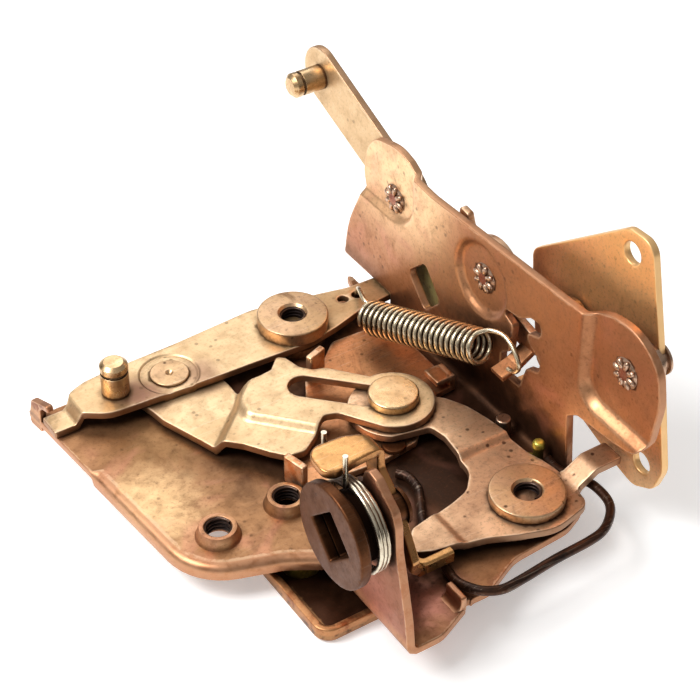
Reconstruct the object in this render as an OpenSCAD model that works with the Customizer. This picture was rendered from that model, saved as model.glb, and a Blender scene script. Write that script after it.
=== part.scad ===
// Car door lock: a folded plate frame with a key cam, cranked levers,
// a pawl and a star wheel. Millimetres. Z is up, X runs towards the end plate.

/* [Node] */
// Which sub-part to draw

/* [Frame] */
// Thickness of the folded frame sheet
sheet = 1.6; // [1.2:0.1:2.0]
// Inner face of the end plate, measured from the crank axis
end_x = 12; // [11.5:0.1:13]
// Outer face of the key flange
flange_x = -37.5; // [-39:0.1:-36]
// Depth of the turned-down rim
rim_h = 3.2; // [2.6:0.1:4]
// Radius of the rim's outer bend
rim_r = 1.5; // [1.2:0.1:1.6]
// Depth of the pressed pads in the end plate
pad_d = 1.5; // [1:0.1:1.8]

/* [Threads and bushes] */
// Tapped radius of the bushes and bosses
tap_r = 2.5; // [2.4:0.05:2.6]
// Outer radius of a bush collar
bush_r = 7.15; // [6.6:0.05:7.4]
// Height of the tapped bosses above the base
boss_h = 2.2; // [1.6:0.1:2.6]
// Outer radius of the tapped bosses
boss_r = 3.6; // [3.4:0.1:4]

/* [Levers] */
// Thickness of the levers
lever_t = 1.6; // [1.4:0.1:1.8]
// Underside of the crank's body
crank_z = 1.5; // [1.4:0.1:1.7]
// Half width of the link's slot
slot_r = 3.0; // [2.9:0.05:3.2]
// Thickness of the tie strap
strap_t = 1.5; // [1.2:0.1:1.5]
// Underside of the tie strap
strap_z = 2.5; // [2.5:0.1:2.8]

/* [Shafts] */
// Radius of the lever shafts
shaft_r = 2.6; // [2.3:0.1:2.8]
// Running clearance round a pivot
run = 0.05; // [0.03:0.01:0.08]
// Inner face of the outer plate
outer_x = 20; // [19.6:0.1:20.6]
// Thickness of the outer plate
outer_t = 1.5; // [1.2:0.1:1.8]
// Radius of the screw holes in the outer plate
screw_r = 2.2; // [2:0.1:2.4]

/* [Key cam] */
// Radius of the key cam's disc
cam_r = 9.7; // [9:0.1:10]
// Side of the square key socket
key_w = 8; // [7:0.1:8.2]

/* [Springs] */
// Wire radius of the wound springs
coil_wire = 0.5; // [0.4:0.05:0.55]
// Mean radius of the long spring
coil_r = 3.15; // [2.9:0.05:3.3]
// Turns of the long spring
coil_n = 21; // [18:1:22]
// Wire radius of the bent wire spring
bent_r = 0.9; // [0.7:0.05:0.95]

/* [Hidden] */
$fn = 48;
seat = 0.02;
lip = 0.4;
pivot_link = [-37.8, 65];
pivot_lock = [-11.5, 26];
bush_a_at = [-9.65, 65];
pin_c = [-6.8, 33.3];
shaft_1_at = [63.2, 26.9];
shaft_2_at = [32.7, 26.9];
shaft_3_at = [-7.2, 31.4];
rotor_at = [13.5, 27];
cam_at = [-4.3, 21.1];
arm_pin_at = [93.5, 38.5];
boss_at = [[-50.2, 25], [-35.7, 25.3]];
hinge_r = 3.5;
bush_seat_r = 5;
tail_r = 4;
strap_top = strap_z + strap_t;
arm_z = crank_z + 1.1;
lift_z = arm_z + lever_t + 0.1;
fold_o = 2.4;
web_r = 1.5;
back_x = end_x + sheet;
lever_x = end_x + pad_d + sheet + 0.3;

// Rounded outlines: every corner is x, y and its radius

function unit(v) = v / norm(v);

function left_of(v) = [-v[1], v[0]];

function flat(q) = [q[0], q[1]];

// centre, start angle and signed turn of the arc at corner p
function bend(a, p, b, r) = let (
    u = unit(a - p),
    v = unit(b - p),
    half = acos(max(-1, min(1, u * v))) / 2,
    c = p + unit(u + v) * (r / sin(half)),
    s = p + u * (r / tan(half)),
    e = p + v * (r / tan(half)),
    a0 = atan2(s[1] - c[1], s[0] - c[0]),
    a1 = atan2(e[1] - c[1], e[0] - c[0]),
    d = a1 - a0
  ) [c, a0, d > 180 ? d - 360 : d < -180 ? d + 360 : d, s, e];

function arc_pts(c, r, a0, d) = let (n = max(2, ceil(abs(d) / 10)))
  [for (i = [0:n]) c + r * [cos(a0 + d * i / n), sin(a0 + d * i / n)]];

// the largest radius that both edges at a corner have room for
function room(a, p, b, r) = min(r, 0.49 * min(norm(a - p), norm(b - p))
  * tan(acos(max(-1, min(1, unit(a - p) * unit(b - p)))) / 2));

function corner_pts(a, p, b, r) = r <= 0 ? [p] :
  let (q = room(a, p, b, r), k = bend(a, p, b, q)) arc_pts(k[0], q, k[1], k[2]);

function soft(q) = [for (i = [0:len(q) - 1])
  each corner_pts(flat(q[(i + len(q) - 1) % len(q)]), flat(q[i]),
    flat(q[(i + 1) % len(q)]), q[i][2])];

// an open run of corners moved sideways to its left by d
function moved(q, d) = [for (i = [0:len(q) - 1]) let (
    a = i > 0 ? unit(flat(q[i]) - flat(q[i - 1])) : unit(flat(q[1]) - flat(q[0])),
    b = i < len(q) - 1 ? unit(flat(q[i + 1]) - flat(q[i])) : a,
    n = left_of(a) + left_of(b),
    turn = a[0] * b[1] - a[1] * b[0],
    p = flat(q[i]) + n * d / (1 + left_of(a) * left_of(b))
  ) [p[0], p[1], q[i][2] <= 0 ? 0 : max(0.2, q[i][2] - sign(turn) * d)]];

// Placing helpers

// outline in y and z, thick along x
module slab_x(x, t) {
  translate([x, 0, 0]) rotate([90, 0, 90]) linear_extrude(height = t) children();
}

// outline in x and z, thick along y
module slab_y(y, t) {
  translate([0, y + t, 0]) rotate([90, 0, 0]) linear_extrude(height = t) children();
}

module slab_z(z, t) {
  translate([0, 0, z]) linear_extrude(height = t) children();
}

module rod_x(x0, x1, at, r) {
  translate([x0, at[0], at[1]]) rotate([0, 90, 0]) cylinder(r = r, h = x1 - x0);
}

module rod_z(z0, z1, at, r) {
  translate([at[0], at[1], z0]) cylinder(r = r, h = z1 - z0);
}

// strip that climbs to the right of the line p to q
module ramp(p, q, w, z0, z1, t) {
  d = q - p;
  translate([p[0], p[1], 0]) rotate([0, 0, atan2(d[1], d[0])]) rotate([90, 0, 90])
    linear_extrude(height = norm(d))
      polygon([[lip * sign(w), z0], [lip * sign(w), z0 + t], [0, z0 + t], [-w, z1 + t],
        [-w - lip * sign(w), z1 + t], [-w - lip * sign(w), z1], [-w, z1], [0, z0]]);
}

// a wide sheet that climbs to the right of the line p to q, flat on either side of it
module climb(p, q, w, z0, z1, t) {
  d = q - p;
  far = 80;
  translate([p[0], p[1], 0]) rotate([0, 0, atan2(d[1], d[0])]) rotate([90, 0, 90])
    translate([0, 0, -far]) linear_extrude(height = 2 * far)
      polygon([[far, z0], [far, z0 + t], [0, z0 + t], [-w, z1 + t], [-far, z1 + t], [-far, z1],
        [-w, z1], [0, z0]]);
}

// Wires: a tube swept along a row of points

function along(p) = [for (i = [0:len(p) - 1])
  unit(p[min(i + 1, len(p) - 1)] - p[max(i - 1, 0)])];

function square_to(n, t) = unit(n - (n * t) * t);

function sides_of(ts, n0) = [for (i = 0, n = square_to(n0, ts[0]); i < len(ts);
  i = i + 1, n = i < len(ts) ? square_to(n, ts[i]) : n) n];

// faces of a closed tube of rings, m points to a ring
function tube_faces(last, m) = concat([for (i = [0:last - 1]) for (j = [0:m - 1]) for (h = [0:1])
  let (a = i * m + j, b = i * m + (j + 1) % m) h == 0 ? [a, a + m, b + m] : [a, b + m, b]],
  [[for (j = [0:m - 1]) j]], [[for (j = [0:m - 1]) last * m + m - 1 - j]]);

module wire(p, r, n0, m) {
  ts = along(p);
  ns = sides_of(ts, n0);
  last = len(p) - 1;
  pts = [for (i = [0:last]) for (j = [0:m - 1])
    p[i] + r * (cos(360 * j / m) * ns[i] + sin(360 * j / m) * cross(ts[i], ns[i]))];
  polyhedron(points = pts, faces = tube_faces(last, m));
}

// Turned-down rim: one section carried along an outline, the sheet to its left

rim_round = [for (i = [0:4]) [rim_r - rim_r * sin(22.5 * i), -rim_r + rim_r * cos(22.5 * i)]];
rim_section = concat([[0, -rim_h], [rim_r, -rim_h], [rim_r, -sheet], [rim_r + 0.7, -sheet],
  [rim_r + 0.7, 0]], rim_round);
// the front edge isn't turned down
plain_section = concat([[0, -max(sheet, rim_r + 0.1)], [rim_r + 0.7, -sheet], [rim_r + 0.7, 0]], rim_round);

function open_run(q) = concat([q[0]], [for (i = [1:len(q) - 2])
  each [for (p = corner_pts(flat(q[i - 1]), flat(q[i]), flat(q[i + 1]), q[i][2])) [p[0], p[1], 0]]],
  [q[len(q) - 1]]);

module rim(q, section) {
  row = open_run(q);
  m = len(section);
  last = len(row) - 1;
  side = [for (c = section) moved(row, c[0])];
  pts = [for (i = [0:last]) for (j = [0:m - 1]) [side[j][i][0], side[j][i][1], section[j][1]]];
  polyhedron(points = pts, faces = tube_faces(last, m));
}

// Frame sheet

left_run = [[-63.83, 74.4, 0], [-59.1, 18.7, 17], [-43.4, 13.4, 9], [flange_x, 9.6, 0]];
front_run = [[flange_x + fold_o - 0.3, -16.8, 0], [-30.2, -16.8, 6], [-20.8, -12.6, 3],
  [-17.2, -12.7, 4], [-9, -8.7, 9], [3.6, -7.9, 7], [9.4, -5.2, 5], [12.4, 1.4, 0]];
base_shape = concat(
  soft(concat(moved(concat([[-63.73, 73.4, 0]], [for (i = [1:3]) left_run[i]]), rim_r + lip),
    [[flange_x + fold_o - 0.1, 9.4, 0]])),
  soft(moved(concat([[flange_x + fold_o - 0.1, -16.8, 0]], [for (i = [1:7]) front_run[i]]),
    rim_r + lip)),
  [[end_x - web_r, 2.2], [end_x - web_r, 62.1], [11.8, 62.8], [11.8, 76], [11, 77], [9.4, 72.2],
   [-61.4, 72.2], [-61.53, 73.3]]);
// the left edge as one true direction, for the ear
ear_turn = 90 + atan2(left_run[1][1] - left_run[0][1], left_run[1][0] - left_run[0][0]);

ear_shape = [[74.2, -2.7, 0.6], [74.3, -0.6, 1], [73, 3.7, 1], [66.7, 6, 0.6], [66.6, 4.5, 0.4],
  [69, 3.9, 1], [70, 2.7, 0.5], [70, -2.3, 0.5]];

web_shape = [[62.4, 1.5, 0], [62.4, 4.2, 0], [79.5, 4.2, 0.6], [78.2, 13, 30], [73.2, 22.9, 4],
  [56.4, 22.9, 0], [56.4, 35.9, 0], [49, 35.9, 3], [2.6, 38.4, 0], [2.6, 15.4, 0], [4.8, 13.6, 1],
  [3.8, 1.5, 0]];
pad_1_shape = [[56.4, 22.9, 0], [73.2, 22.9, 0], [74.5, 27, 6], [73.6, 33, 9], [70.5, 37, 5],
  [63, 38.4, 9], [58.8, 37.6, 3], [56.4, 35.9, 0]];
pad_3_shape = [[2.6, 38.4, 0], [-2, 40.6, 12], [-8.6, 41.4, 12], [-15, 37.6, 7], [-16.6, 30.2, 12],
  [-15.6, 20, 0], [2.6, 20, 0]];
low_3_shape = [[2.6, 20.6, 0], [-15.6, 20.6, 0], [-14.6, 17.4, 3], [-8, 16.6, 8], [2.6, 15.4, 0]];

pad_3_d = 2;
window_shape = [[56, 14.3, 1.2], [50.5, 19.4, 1.2], [45.2, 13.1, 1.2], [50.2, 8, 1.2]];
cut_shape = [[25, 14.6, 1], [25.2, 10.2, 1], [19.2, 10.4, 1], [17.5, 16, 1.5], [13.6, 17.6, 1.5],
  [13.9, 20.4, 1], [17.8, 22.4, 1], [17.8, 24.2, 1], [14, 25.6, 1.3], [14.2, 28.4, 1.2],
  [17.2, 28, 1.2], [20.4, 25.8, 1], [24.6, 25.3, 0.6], [24.8, 24, 0.6], [22, 22.8, 1],
  [22.6, 16.5, 1]];

module folded_edge(y0, y1, x, ro, ri, up) {
  // quarter ring that turns the sheet up at x
  slab_y(y0, y1 - y0) intersection() {
    translate([x + up * ro, ro - sheet]) difference() {
      circle(r = ro);
      circle(r = ri);
    }
    translate([up > 0 ? x : x - ro, -sheet]) square([ro, ro]);
  }
}

module tapped_boss(at) {
  rod_z(-sheet / 2, boss_h, at, boss_r);
}

module dimple(at, r0, r1, d) {
  // pressed cone with a flat floor, open to the shaft
  translate([end_x, at[0], at[1]]) rotate([0, 90, 0]) rotate_extrude($fn = 96)
    polygon([[0, d], [r1, d], [r0, 0], [r0 + 1.2, 0], [r0 + 1.2, sheet],
      [r0 - 0.5, sheet], [r1 - 0.4, d + sheet], [0, d + sheet]]);
}

module end_plate() {
  difference() {
    union() {
      difference() {
        slab_x(end_x, sheet) polygon(soft(web_shape));
        rod_x(end_x - 1, back_x + 1, shaft_2_at, 8.5);
        rod_x(end_x - 1, back_x + 1, [62.8, 29.3], 8.4);
      }
      dimple(shaft_2_at, 8, 6.9, 1.2);
      // pad for the upper arm's shaft
      slab_x(end_x + pad_d, sheet) polygon(soft(pad_1_shape));
      intersection() {
        slab_x(end_x, pad_d + sheet) polygon(soft(pad_1_shape));
        union() {
          slab_x(end_x, pad_d + sheet) translate([56, 22.5]) square([17.6, 1.1]);
          slab_x(end_x, pad_d + sheet) translate([56, 22.5]) square([2, 14.2]);
        }
      }
      // pad for the tie shaft, deeper, with a raised band below it
      slab_x(end_x + pad_3_d, sheet) polygon(soft(pad_3_shape));
      slab_x(end_x + 0.4, sheet + 0.6) polygon(soft(low_3_shape));
      slab_x(end_x, pad_3_d + sheet) translate([1.4, 20]) square([1.6, 18.4]);
      slab_x(end_x, sheet + 0.5) translate([1.4, 15.6]) square([1.6, 5]);
    }
    slab_x(end_x - 1, 4) polygon(soft(window_shape));
    slab_x(end_x - 1, 4) polygon(soft(cut_shape));
    rod_x(end_x - 1, end_x + 6, shaft_1_at, shaft_r + seat);
    rod_x(end_x - 1, end_x + 6, shaft_2_at, shaft_r + seat);
    rod_x(end_x - 1, end_x + 6, shaft_3_at, shaft_r + seat);
  }
}

flange_shape = [[9.6, 0.8, 0], [8, 8, 10], [3.2, 19.2, 5], [2.6, 23.4, 5], [0.6, 26.6, 4],
  [-2.4, 28.4, 1], [-3.1, 31.2, 1], [-4.4, 32.2, 1], [-6.6, 31.8, 1], [-8.8, 30, 2], [-11.4, 28.2, 2],
  [-12.5, 25.4, 3], [-12.8, 20, 12], [-14.2, 14.7, 12], [-16.2, 6, 8], [-16.8, 0.8, 0]];

module frame_sheet() {
  color([0.72, 0.49, 0.33]) difference() {
    union() {
      slab_z(-sheet, sheet) polygon(base_shape);
      rim(left_run, rim_section);
      rim(front_run, plain_section);
      folded_edge(-16.8, 9.6, flange_x, fold_o, fold_o - sheet, 1);
      slab_x(flange_x, sheet) polygon(soft(flange_shape));
      folded_edge(3.8, 62.4, end_x + sheet, web_r + sheet, web_r, -1);
      end_plate();
      translate([left_run[0][0], left_run[0][1], 0]) rotate([0, 0, ear_turn])
        slab_x(0.05, rim_r - 0.1) translate([-left_run[0][1], 0]) polygon(soft(ear_shape));
      for (p = boss_at) {
        tapped_boss(p);
      }
      // small lug turned up at the front corner
      slab_x(-24.4, 1.3) polygon(soft([[-13.9, -0.8, 0], [-13.9, 2.8, 0.7], [-9.2, 2.8, 1.2], [-7, -0.8, 0]]));
    }
    for (p = boss_at) {
      rod_z(-sheet - 1, boss_h + 1, p, tap_r);
    }
    rod_z(-sheet - 1, 1, pivot_link, 2.2 + seat);
    rod_z(-sheet - 1, 1, pivot_lock, 1.6 + seat);
    rod_z(-sheet - 1, 1, bush_a_at, tail_r + seat);
    rod_z(-sheet - 1, 1, [0, 0], tail_r + seat);
    rod_z(-sheet - 1, 1, stop_at, 1.2 + seat);
    rod_z(-sheet - 1, 1, stud_at, 1 + seat);
    rod_x(flange_x - 1, flange_x + sheet + 1, cam_at, journal_r + run);
    // notch beside the lug
    translate([-23.1, -14.8, -5]) cube([1.6, 2.4, 8]);
  }
}

// Tie strap and what it carries

strap_shape = [[-57.4, 67.6, 0], [-56.6, 70.4, 3], [-53.1, 71.9, 8], [-48.9, 72.3, 5], [-32.2, 72.6, 0],
  [-14.5, 73.6, 12], [0.3, 70.6, 12], [6.2, 69.2, 8], [14.4, 69, 0], [14.4, 62.7, 0], [5.2, 61.8, 8],
  [-2.7, 59.5, 12], [-9.5, 58.2, 16], [-22.4, 58.9, 0], [-32.2, 59.3, 0], [-47, 60.3, 12],
  [-53, 60.8, 7], [-57.4, 64.4, 3]];
strap_hole = [3.2, 66.4];
hook_hole = [6.4, 66.1];
pin_at = [-49, 65.9];

module strap() {
  color([0.84, 0.74, 0.56]) difference() {
    union() {
      slab_z(strap_z, strap_t) polygon(soft(strap_shape));
      // joggle down to the tab that lies in the ear's notch
      ramp([-58.8, 69.4], [-58.8, 64], -1.8, 0, strap_z, strap_t);
      translate([-63.2, 64, 0]) cube([4.5, 5.4, strap_t]);
    }
    rod_z(strap_top - 0.35, strap_top + 1, pivot_link, 5.86);
    rod_z(strap_z - 1, strap_top + 1, pivot_link, 2.2 + seat);
    rod_z(strap_z - 1, strap_top + 1, pin_at, 2 + seat);
    rod_z(strap_z - 1, strap_top + 1, bush_a_at, bush_seat_r + seat);
    rod_z(strap_z - 1, strap_top + 1, strap_hole, 1.1);
    rod_z(strap_z - 1, strap_top + 1, hook_hole, 1.1);
  }
}

// grooved pin of radius r and length h, its free end along +z
module grooved_pin(r, h) {
  rotate_extrude($fn = 64) polygon([[0, 0], [r, 0], [r, h - 2.6], [r - 0.5, h - 2.6],
    [r - 0.5, h - 1.9], [r, h - 1.9], [r, h - 0.7], [r - 0.8, h], [0, h]]);
}

module strap_pin() {
  color([0.78, 0.66, 0.46]) union() {
    translate([pin_at[0], pin_at[1], strap_top]) grooved_pin(2.75, 7.5);
    rod_z(strap_z, strap_top + 0.5, pin_at, 2);
  }
}

module bush_a() {
  color([0.62, 0.47, 0.33]) difference() {
    translate([bush_a_at[0], bush_a_at[1], 0]) rotate_extrude($fn = 96)
      polygon([[0, -2.2], [tail_r + 0.4, -2.2], [tail_r + 0.4, -sheet], [tail_r, -sheet],
        [tail_r, 0], [6.5, 0], [6.5, strap_z], [bush_seat_r, strap_z],
        [bush_seat_r, strap_top], [bush_r, strap_top], [bush_r, 6.7], [bush_r - 0.3, 7],
        [0, 7]]);
    rod_z(-4, 9, bush_a_at, tap_r);
  }
}

module bush_b() {
  color([0.62, 0.45, 0.33]) difference() {
    rotate_extrude($fn = 96)
      polygon([[0, -2.2], [tail_r + 0.4, -2.2], [tail_r + 0.4, -sheet], [tail_r, -sheet],
        [tail_r, 0], [6.2, 0], [6.2, crank_z - 0.1], [bush_seat_r, crank_z - 0.1],
        [bush_seat_r, 3.4], [bush_r, 3.4], [bush_r, 5], [bush_r - 0.3, 5.3], [0, 5.3]]);
    rod_z(-4, 9, [0, 0], tap_r);
  }
}

// Link lever: three levels joined by a climb and a joggle

link_a = [-40.3, 43.5];
link_b = [-29.9, 52.7];
link_n = [link_b[1] - link_a[1], link_a[0] - link_b[0]] / norm(link_b - link_a);
link_w = 1.8;
link_d = unit(pin_c - pivot_link);
slot_a = pivot_link + link_d * 26.8;
slot_b = pin_c + link_d * 1.2;
link_under = concat([[-45.1, 59.2], [-44.6, 55.7], [-41.3, 46.6], link_a], soft([[-36.2, 39.3, 3],
  [-33.3, 34.9, 3], [-30.9, 32, 1.5], [-27.5, 31.5, 2], [-21.4, 35.6, 0]]),
  [[-20.6, 37.4], [-28.4, 44.6], [-28.6, 48.6], [-27.6, 51], link_b, [-28.7, 57]],
  arc_pts(pivot_link, 8.6, 0, 180));
link_tie = [[-23, 35.7], [-29.9, 43.3], [-31.2, 45], [-30.3, 48.4], [-29.3, 48], [-29.2, 44.4],
  [-21.8, 36.6]];
link_top = soft([[-23.1, 34.4, 0], [-30.6, 42.6, 2], [-32.5, 44.6, 1.5], [-31.6, 49.4, 3],
  [-28.6, 53.4, 3], [-24.5, 53.1, 2], [-21.8, 53.4, 1], [-18.9, 56.2, 0.8], [-17.5, 54.9, 0.6],
  [-16.7, 51.2, 2], [-14.8, 49, 2], [-12.6, 48.3, 2], [-6, 41.3, 0], [-8.9, 32, 0],
  [-12.6, 27.8, 0], [-17.7, 35.6, 2], [-20.3, 36.6, 1.5]]);

module link_lever() {
  color([0.86, 0.77, 0.6]) difference() {
    union() {
      intersection() {
        slab_z(-1, 9) polygon(link_under);
        climb(link_a, link_b, link_w, strap_z - 0.3 - lever_t, lift_z - lever_t, lever_t);
      }
      slab_z(lift_z - 0.5, 1) polygon(link_tie);
      slab_z(lift_z, lever_t) union() {
        polygon(link_top);
        translate(pin_c) circle(r = 8);
      }
    }
    rod_z(-1, strap_z, pivot_link, hinge_r + run);
    slab_z(lift_z - 3, 8) union() {
      translate(slot_a) circle(r = slot_r);
      translate(slot_b) circle(r = slot_r);
      polygon([slot_a + left_of(link_d) * slot_r, slot_b + left_of(link_d) * slot_r,
        slot_b - left_of(link_d) * slot_r, slot_a - left_of(link_d) * slot_r]);
    }
  }
}

module link_pivot() {
  color([0.7, 0.58, 0.47]) translate([pivot_link[0], pivot_link[1], 0])
    rotate_extrude($fn = 96) polygon([[0, -2.4], [3.2, -2.4], [3.2, -sheet], [2.2, -sheet],
      [2.2, 0], [hinge_r, 0], [hinge_r, strap_z], [2.2, strap_z], [2.2, strap_top - 0.35],
      [3.87, strap_top - 0.35], [3.87, strap_top + 0.15], [3.7, strap_top + 0.3],
      [0.8, strap_top + 0.3], [0, strap_top - 0.2]]);
}

// Crank: body round the bush, finger, raised arm and the arm through the end plate

finger_z = crank_z + 0.6;
crank_shape = soft([[-16, -3.4, 0], [-12, -4.4, 0], [-6.8, -6.8, 8], [0, -9.2, 8.3], [8.8, -7.2, 8.3],
  [9.4, 3.9, 0], [8.6, 6.8, 6], [7.6, 10, 8], [7.2, 14.7, 0], [-4.1, 14.7, 0], [-4.4, 11.6, 5],
  [-8, 7.6, 5], [-12, 6.4, 12], [-16, 5.6, 0]]);
finger_shape = soft([[-17.6, 5.2, 0], [-22.3, 4.4, 2.4], [-25.2, 1, 2.4], [-25, -0.9, 1.4],
  [-22.2, -2.3, 3], [-17.6, -3.2, 0]]);
arm_shape = concat([[7.1, 15.8], [6.2, 20.9], [5, 25.8], [2.9, 29.7]],
  arc_pts(pin_c, 8.8, -15, 250), [[-4.2, 24.3], [-3.6, 20.9], [-4.4, 15.8]]);
arm_c_section = [[7.6, crank_z], [7.6, crank_z + lever_t], [8.6, crank_z + lever_t],
  [13.6, 6], [19.2, 6], [19.2, 4.4], [13.9, 4.4], [9, crank_z]];

module crank() {
  color([0.74, 0.58, 0.43]) difference() {
    union() {
      slab_z(crank_z, lever_t) polygon(crank_shape);
      ramp([-16, -3.4], [-16, 5.6], -1.6, crank_z, finger_z, lever_t);
      slab_z(finger_z, lever_t) polygon(finger_shape);
      ramp([-4.1, 14.7], [7.2, 14.7], -1.1, crank_z, arm_z, lever_t);
      slab_z(arm_z, lever_t) polygon(arm_shape);
      slab_y(-3.2, 5.1) polygon(arm_c_section);
    }
    rod_z(-1, 9, [0, 0], bush_seat_r + run);
    rod_z(-1, 9, pin_c, 2.1 + seat);
  }
}

module crank_rivet() {
  color([0.8, 0.68, 0.5]) translate([pin_c[0], pin_c[1], 0]) rotate_extrude($fn = 96)
    polygon([[0, arm_z - 0.55], [3.2, arm_z - 0.55], [3.2, arm_z], [2.1, arm_z],
      [2.1, arm_z + lever_t], [shaft_r, arm_z + lever_t], [shaft_r, lift_z + lever_t + 0.2],
      [4.9, lift_z + lever_t + 0.2], [4.9, lift_z + lever_t + 1.4],
      [4.6, lift_z + lever_t + 1.7], [0, lift_z + lever_t + 1.7]]);
}

// Key cam, its lever and its spring

journal_r = 2.8;
cam_x = flange_x - 7.5;
hub_x = flange_x - 0.2;
key_x = flange_x + 4.6;
tongue_z = 30.1;

module key_cam() {
  color([0.36, 0.22, 0.15]) difference() {
    translate([cam_x, cam_at[0], cam_at[1]]) rotate([0, 90, 0]) rotate_extrude($fn = 96)
      polygon([[0, 0], [cam_r - 0.3, 0], [cam_r, 0.3], [cam_r, 2.1], [7, 2.1], [7, 3.6],
        [6.5, 3.6], [6.5, hub_x - cam_x], [journal_r, hub_x - cam_x],
        [journal_r, key_x + lever_t - cam_x], [3.4, key_x + lever_t - cam_x],
        [3.4, key_x + lever_t + 0.8 - cam_x], [0, key_x + lever_t + 0.8 - cam_x]]);
    translate([cam_x - 1, cam_at[0], cam_at[1]]) rotate([45, 0, 0])
      translate([0, -key_w / 2, -key_w / 2]) cube([7.2, key_w, key_w]);
  }
}

key_plate = soft([[-0.3, tongue_z + 1, 0], [-0.3, 27.2, 1.5], [-3.6, 24.4, 3], [-7, 20.4, 4],
  [-11.2, 13.6, 1], [-10.4, 11.4, 0], [0.4, 11.4, 0], [2.6, 16, 4], [2.8, 24, 4], [4, 27, 2],
  [4, tongue_z + 1, 0]]);
// the tongue seen from above: round at its free end, narrower at the bend
tongue_shape = soft([[flange_x - 6.1, -1.7, 2.6], [flange_x - 0.5, -0.8, 6], [key_x + 0.8, -0.3, 0],
  [key_x + 0.8, 4, 0], [flange_x + 1.5, 5.7, 4], [flange_x - 5.9, 6.3, 3]]);

module key_lever() {
  color([0.86, 0.66, 0.3]) difference() {
    union() {
      slab_x(key_x, lever_t) polygon(key_plate);
      // tongue over the flange, between the spring's legs
      slab_z(tongue_z, 1.6) polygon(tongue_shape);
      slab_y(-0.3, 4.3) polygon([[key_x + 0.8, tongue_z], [key_x + 0.8, tongue_z + 1.6],
        [key_x + 1.2, tongue_z + 1.5], [key_x + 1.6, tongue_z + 1], [key_x + 1.6, tongue_z]]);
      // limb that leans inwards to the hook
      intersection() {
        slab_y(-12, 16) polygon([[key_x, 11.5], [key_x + 1.6, 11.5], [-25.7, 3.6], [-25.7, 2.2],
          [-27.3, 2.2], [-27.3, 3.4]]);
        slab_x(-34, 12) polygon([[-10.45, 11.5], [-8.2, 7], [-5.3, 4.6], [-5.3, 2], [2.2, 2],
          [2.6, 5], [0.4, 11.5]]);
      }
      // hook outside the crank's finger
      translate([-27.3, -5.3, 2.2]) cube([7.6, 1.7, 2.6]);
    }
    rod_x(key_x - 1, key_x + 3, cam_at, journal_r + seat);
  }
}

function turns(at, r, x0, x1, a0, n, k) = [for (i = [0:n * k])
  [x0 + (x1 - x0) * i / (n * k), at[0] + r * sin(a0 + 360 * i / k),
   at[1] + r * cos(a0 + 360 * i / k)]];

wound_r = 8.25;
wound_ax = flange_x - 3.3;
wound_bx = flange_x - 1.1;

module torsion_spring() {
  color([0.8, 0.76, 0.7]) wire(concat(
    [[wound_ax, cam_at[0] + 1.7, 35.8], [wound_ax, cam_at[0] + 1.7, 31]],
    turns(cam_at, wound_r, wound_ax, wound_bx, 12, 3.13, 18),
    [[wound_bx, 7.4, 26.6], [wound_bx, 7.4, 32.4]]), coil_wire,
    [1, 0, 0], 8);
}

// Long spring from the strap to the pawl's tab

long_a = [3, 55.6, 6.5];
long_b = [8, 25.9, 17.1];
long_k = 14;
long_u = unit(long_b - long_a);
long_s = unit(cross(long_u, [0, 0, 1]));
long_t = cross(long_s, long_u);

function long_pt(f, r, a) = long_a + (long_b - long_a) * f + r * (cos(a) * long_s + sin(a) * long_t);

module long_spring() {
  color([0.66, 0.6, 0.5]) wire(concat(
    [[6.4, 66.1, 1.2], [6.4, 66.1, 4.2], [6.2, 65.4, 6], [5.4, 63.6, 7], [4.2, 60, 7.4],
     [4.6, 57.6, 6.6]],
    [for (i = [0:coil_n * long_k]) long_pt(i / (coil_n * long_k), coil_r, 360 * i / long_k)],
    [[10.9, 22.6, 18.6], [10.9, 19.8, 19.4], [10.7, 18, 18.4], [10.6, 17.9, 16.2],
     [10.5, 19.2, 14.6], [10.4, 20.8, 14.2]]), coil_wire, long_u, 8);
}

bent_path = [[9.7, 6.9, 2.9], [10.15, 5.2, 1.9], [11, 3.4, 1.3], [12.5, 0.6, 1.2],
  [13.2, -3, 1.8], [12.8, -7.4, 2], [11.1, -10.4, 2], [7.5, -13.1, 2], [3.4, -14, 2], [-4.3, -14.3, 2],
  [-12.1, -15, 2], [-16.4, -15.1, 2], [-19.6, -13.5, 2], [-21.3, -10.5, 1.6], [-21.6, -7.8, 1.1],
  [-21, -4, 1], [-20, 1.4, 0.95], [-18.1, 6.9, 0.95], [-16, 10.6, 0.95], [-13.9, 14.5, 1],
  [-13.6, 18.2, 1], [-14.8, 20.2, 1]];

function smooth_row(p, k) = [for (i = [0:len(p) - 2]) for (j = [0:k - 1]) let (
    a = p[max(i - 1, 0)],
    b = p[i],
    c = p[i + 1],
    d = p[min(i + 2, len(p) - 1)],
    t = j / k
  ) ((2 * b) + (c - a) * t + (2 * a - 5 * b + 4 * c - d) * t * t
    + (3 * b - a - 3 * c + d) * t * t * t) / 2];

module wire_spring() {
  color([0.14, 0.11, 0.1]) wire(concat(smooth_row(bent_path, 3), [bent_path[len(bent_path) - 1]]),
    bent_r, [0, 0, 1], 10);
}

stud_at = [9.6, 9.2];
stop_at = [8.9, 19.2];
stop_r = 1.5;

module spring_stud() {
  color([0.84, 0.74, 0.3]) union() {
    rod_z(-sheet, 4.2, stud_at, 1);
    slab_z(0, 0.8) polygon([[7.8, 11], [9.1, 12], [10.4, 10.6], [10.4, 5.4], [9.6, 5.2], [9, 7.4]]);
    translate([stud_at[0], stud_at[1], 4.2]) sphere(r = 1.3);
  }
}

module stop_stud() {
  color([0.7, 0.55, 0.45]) union() {
    rod_z(-sheet, 0, stop_at, 1.2);
    rod_z(0, 4, stop_at, stop_r);
  }
}

// Lock lever under the link

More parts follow.
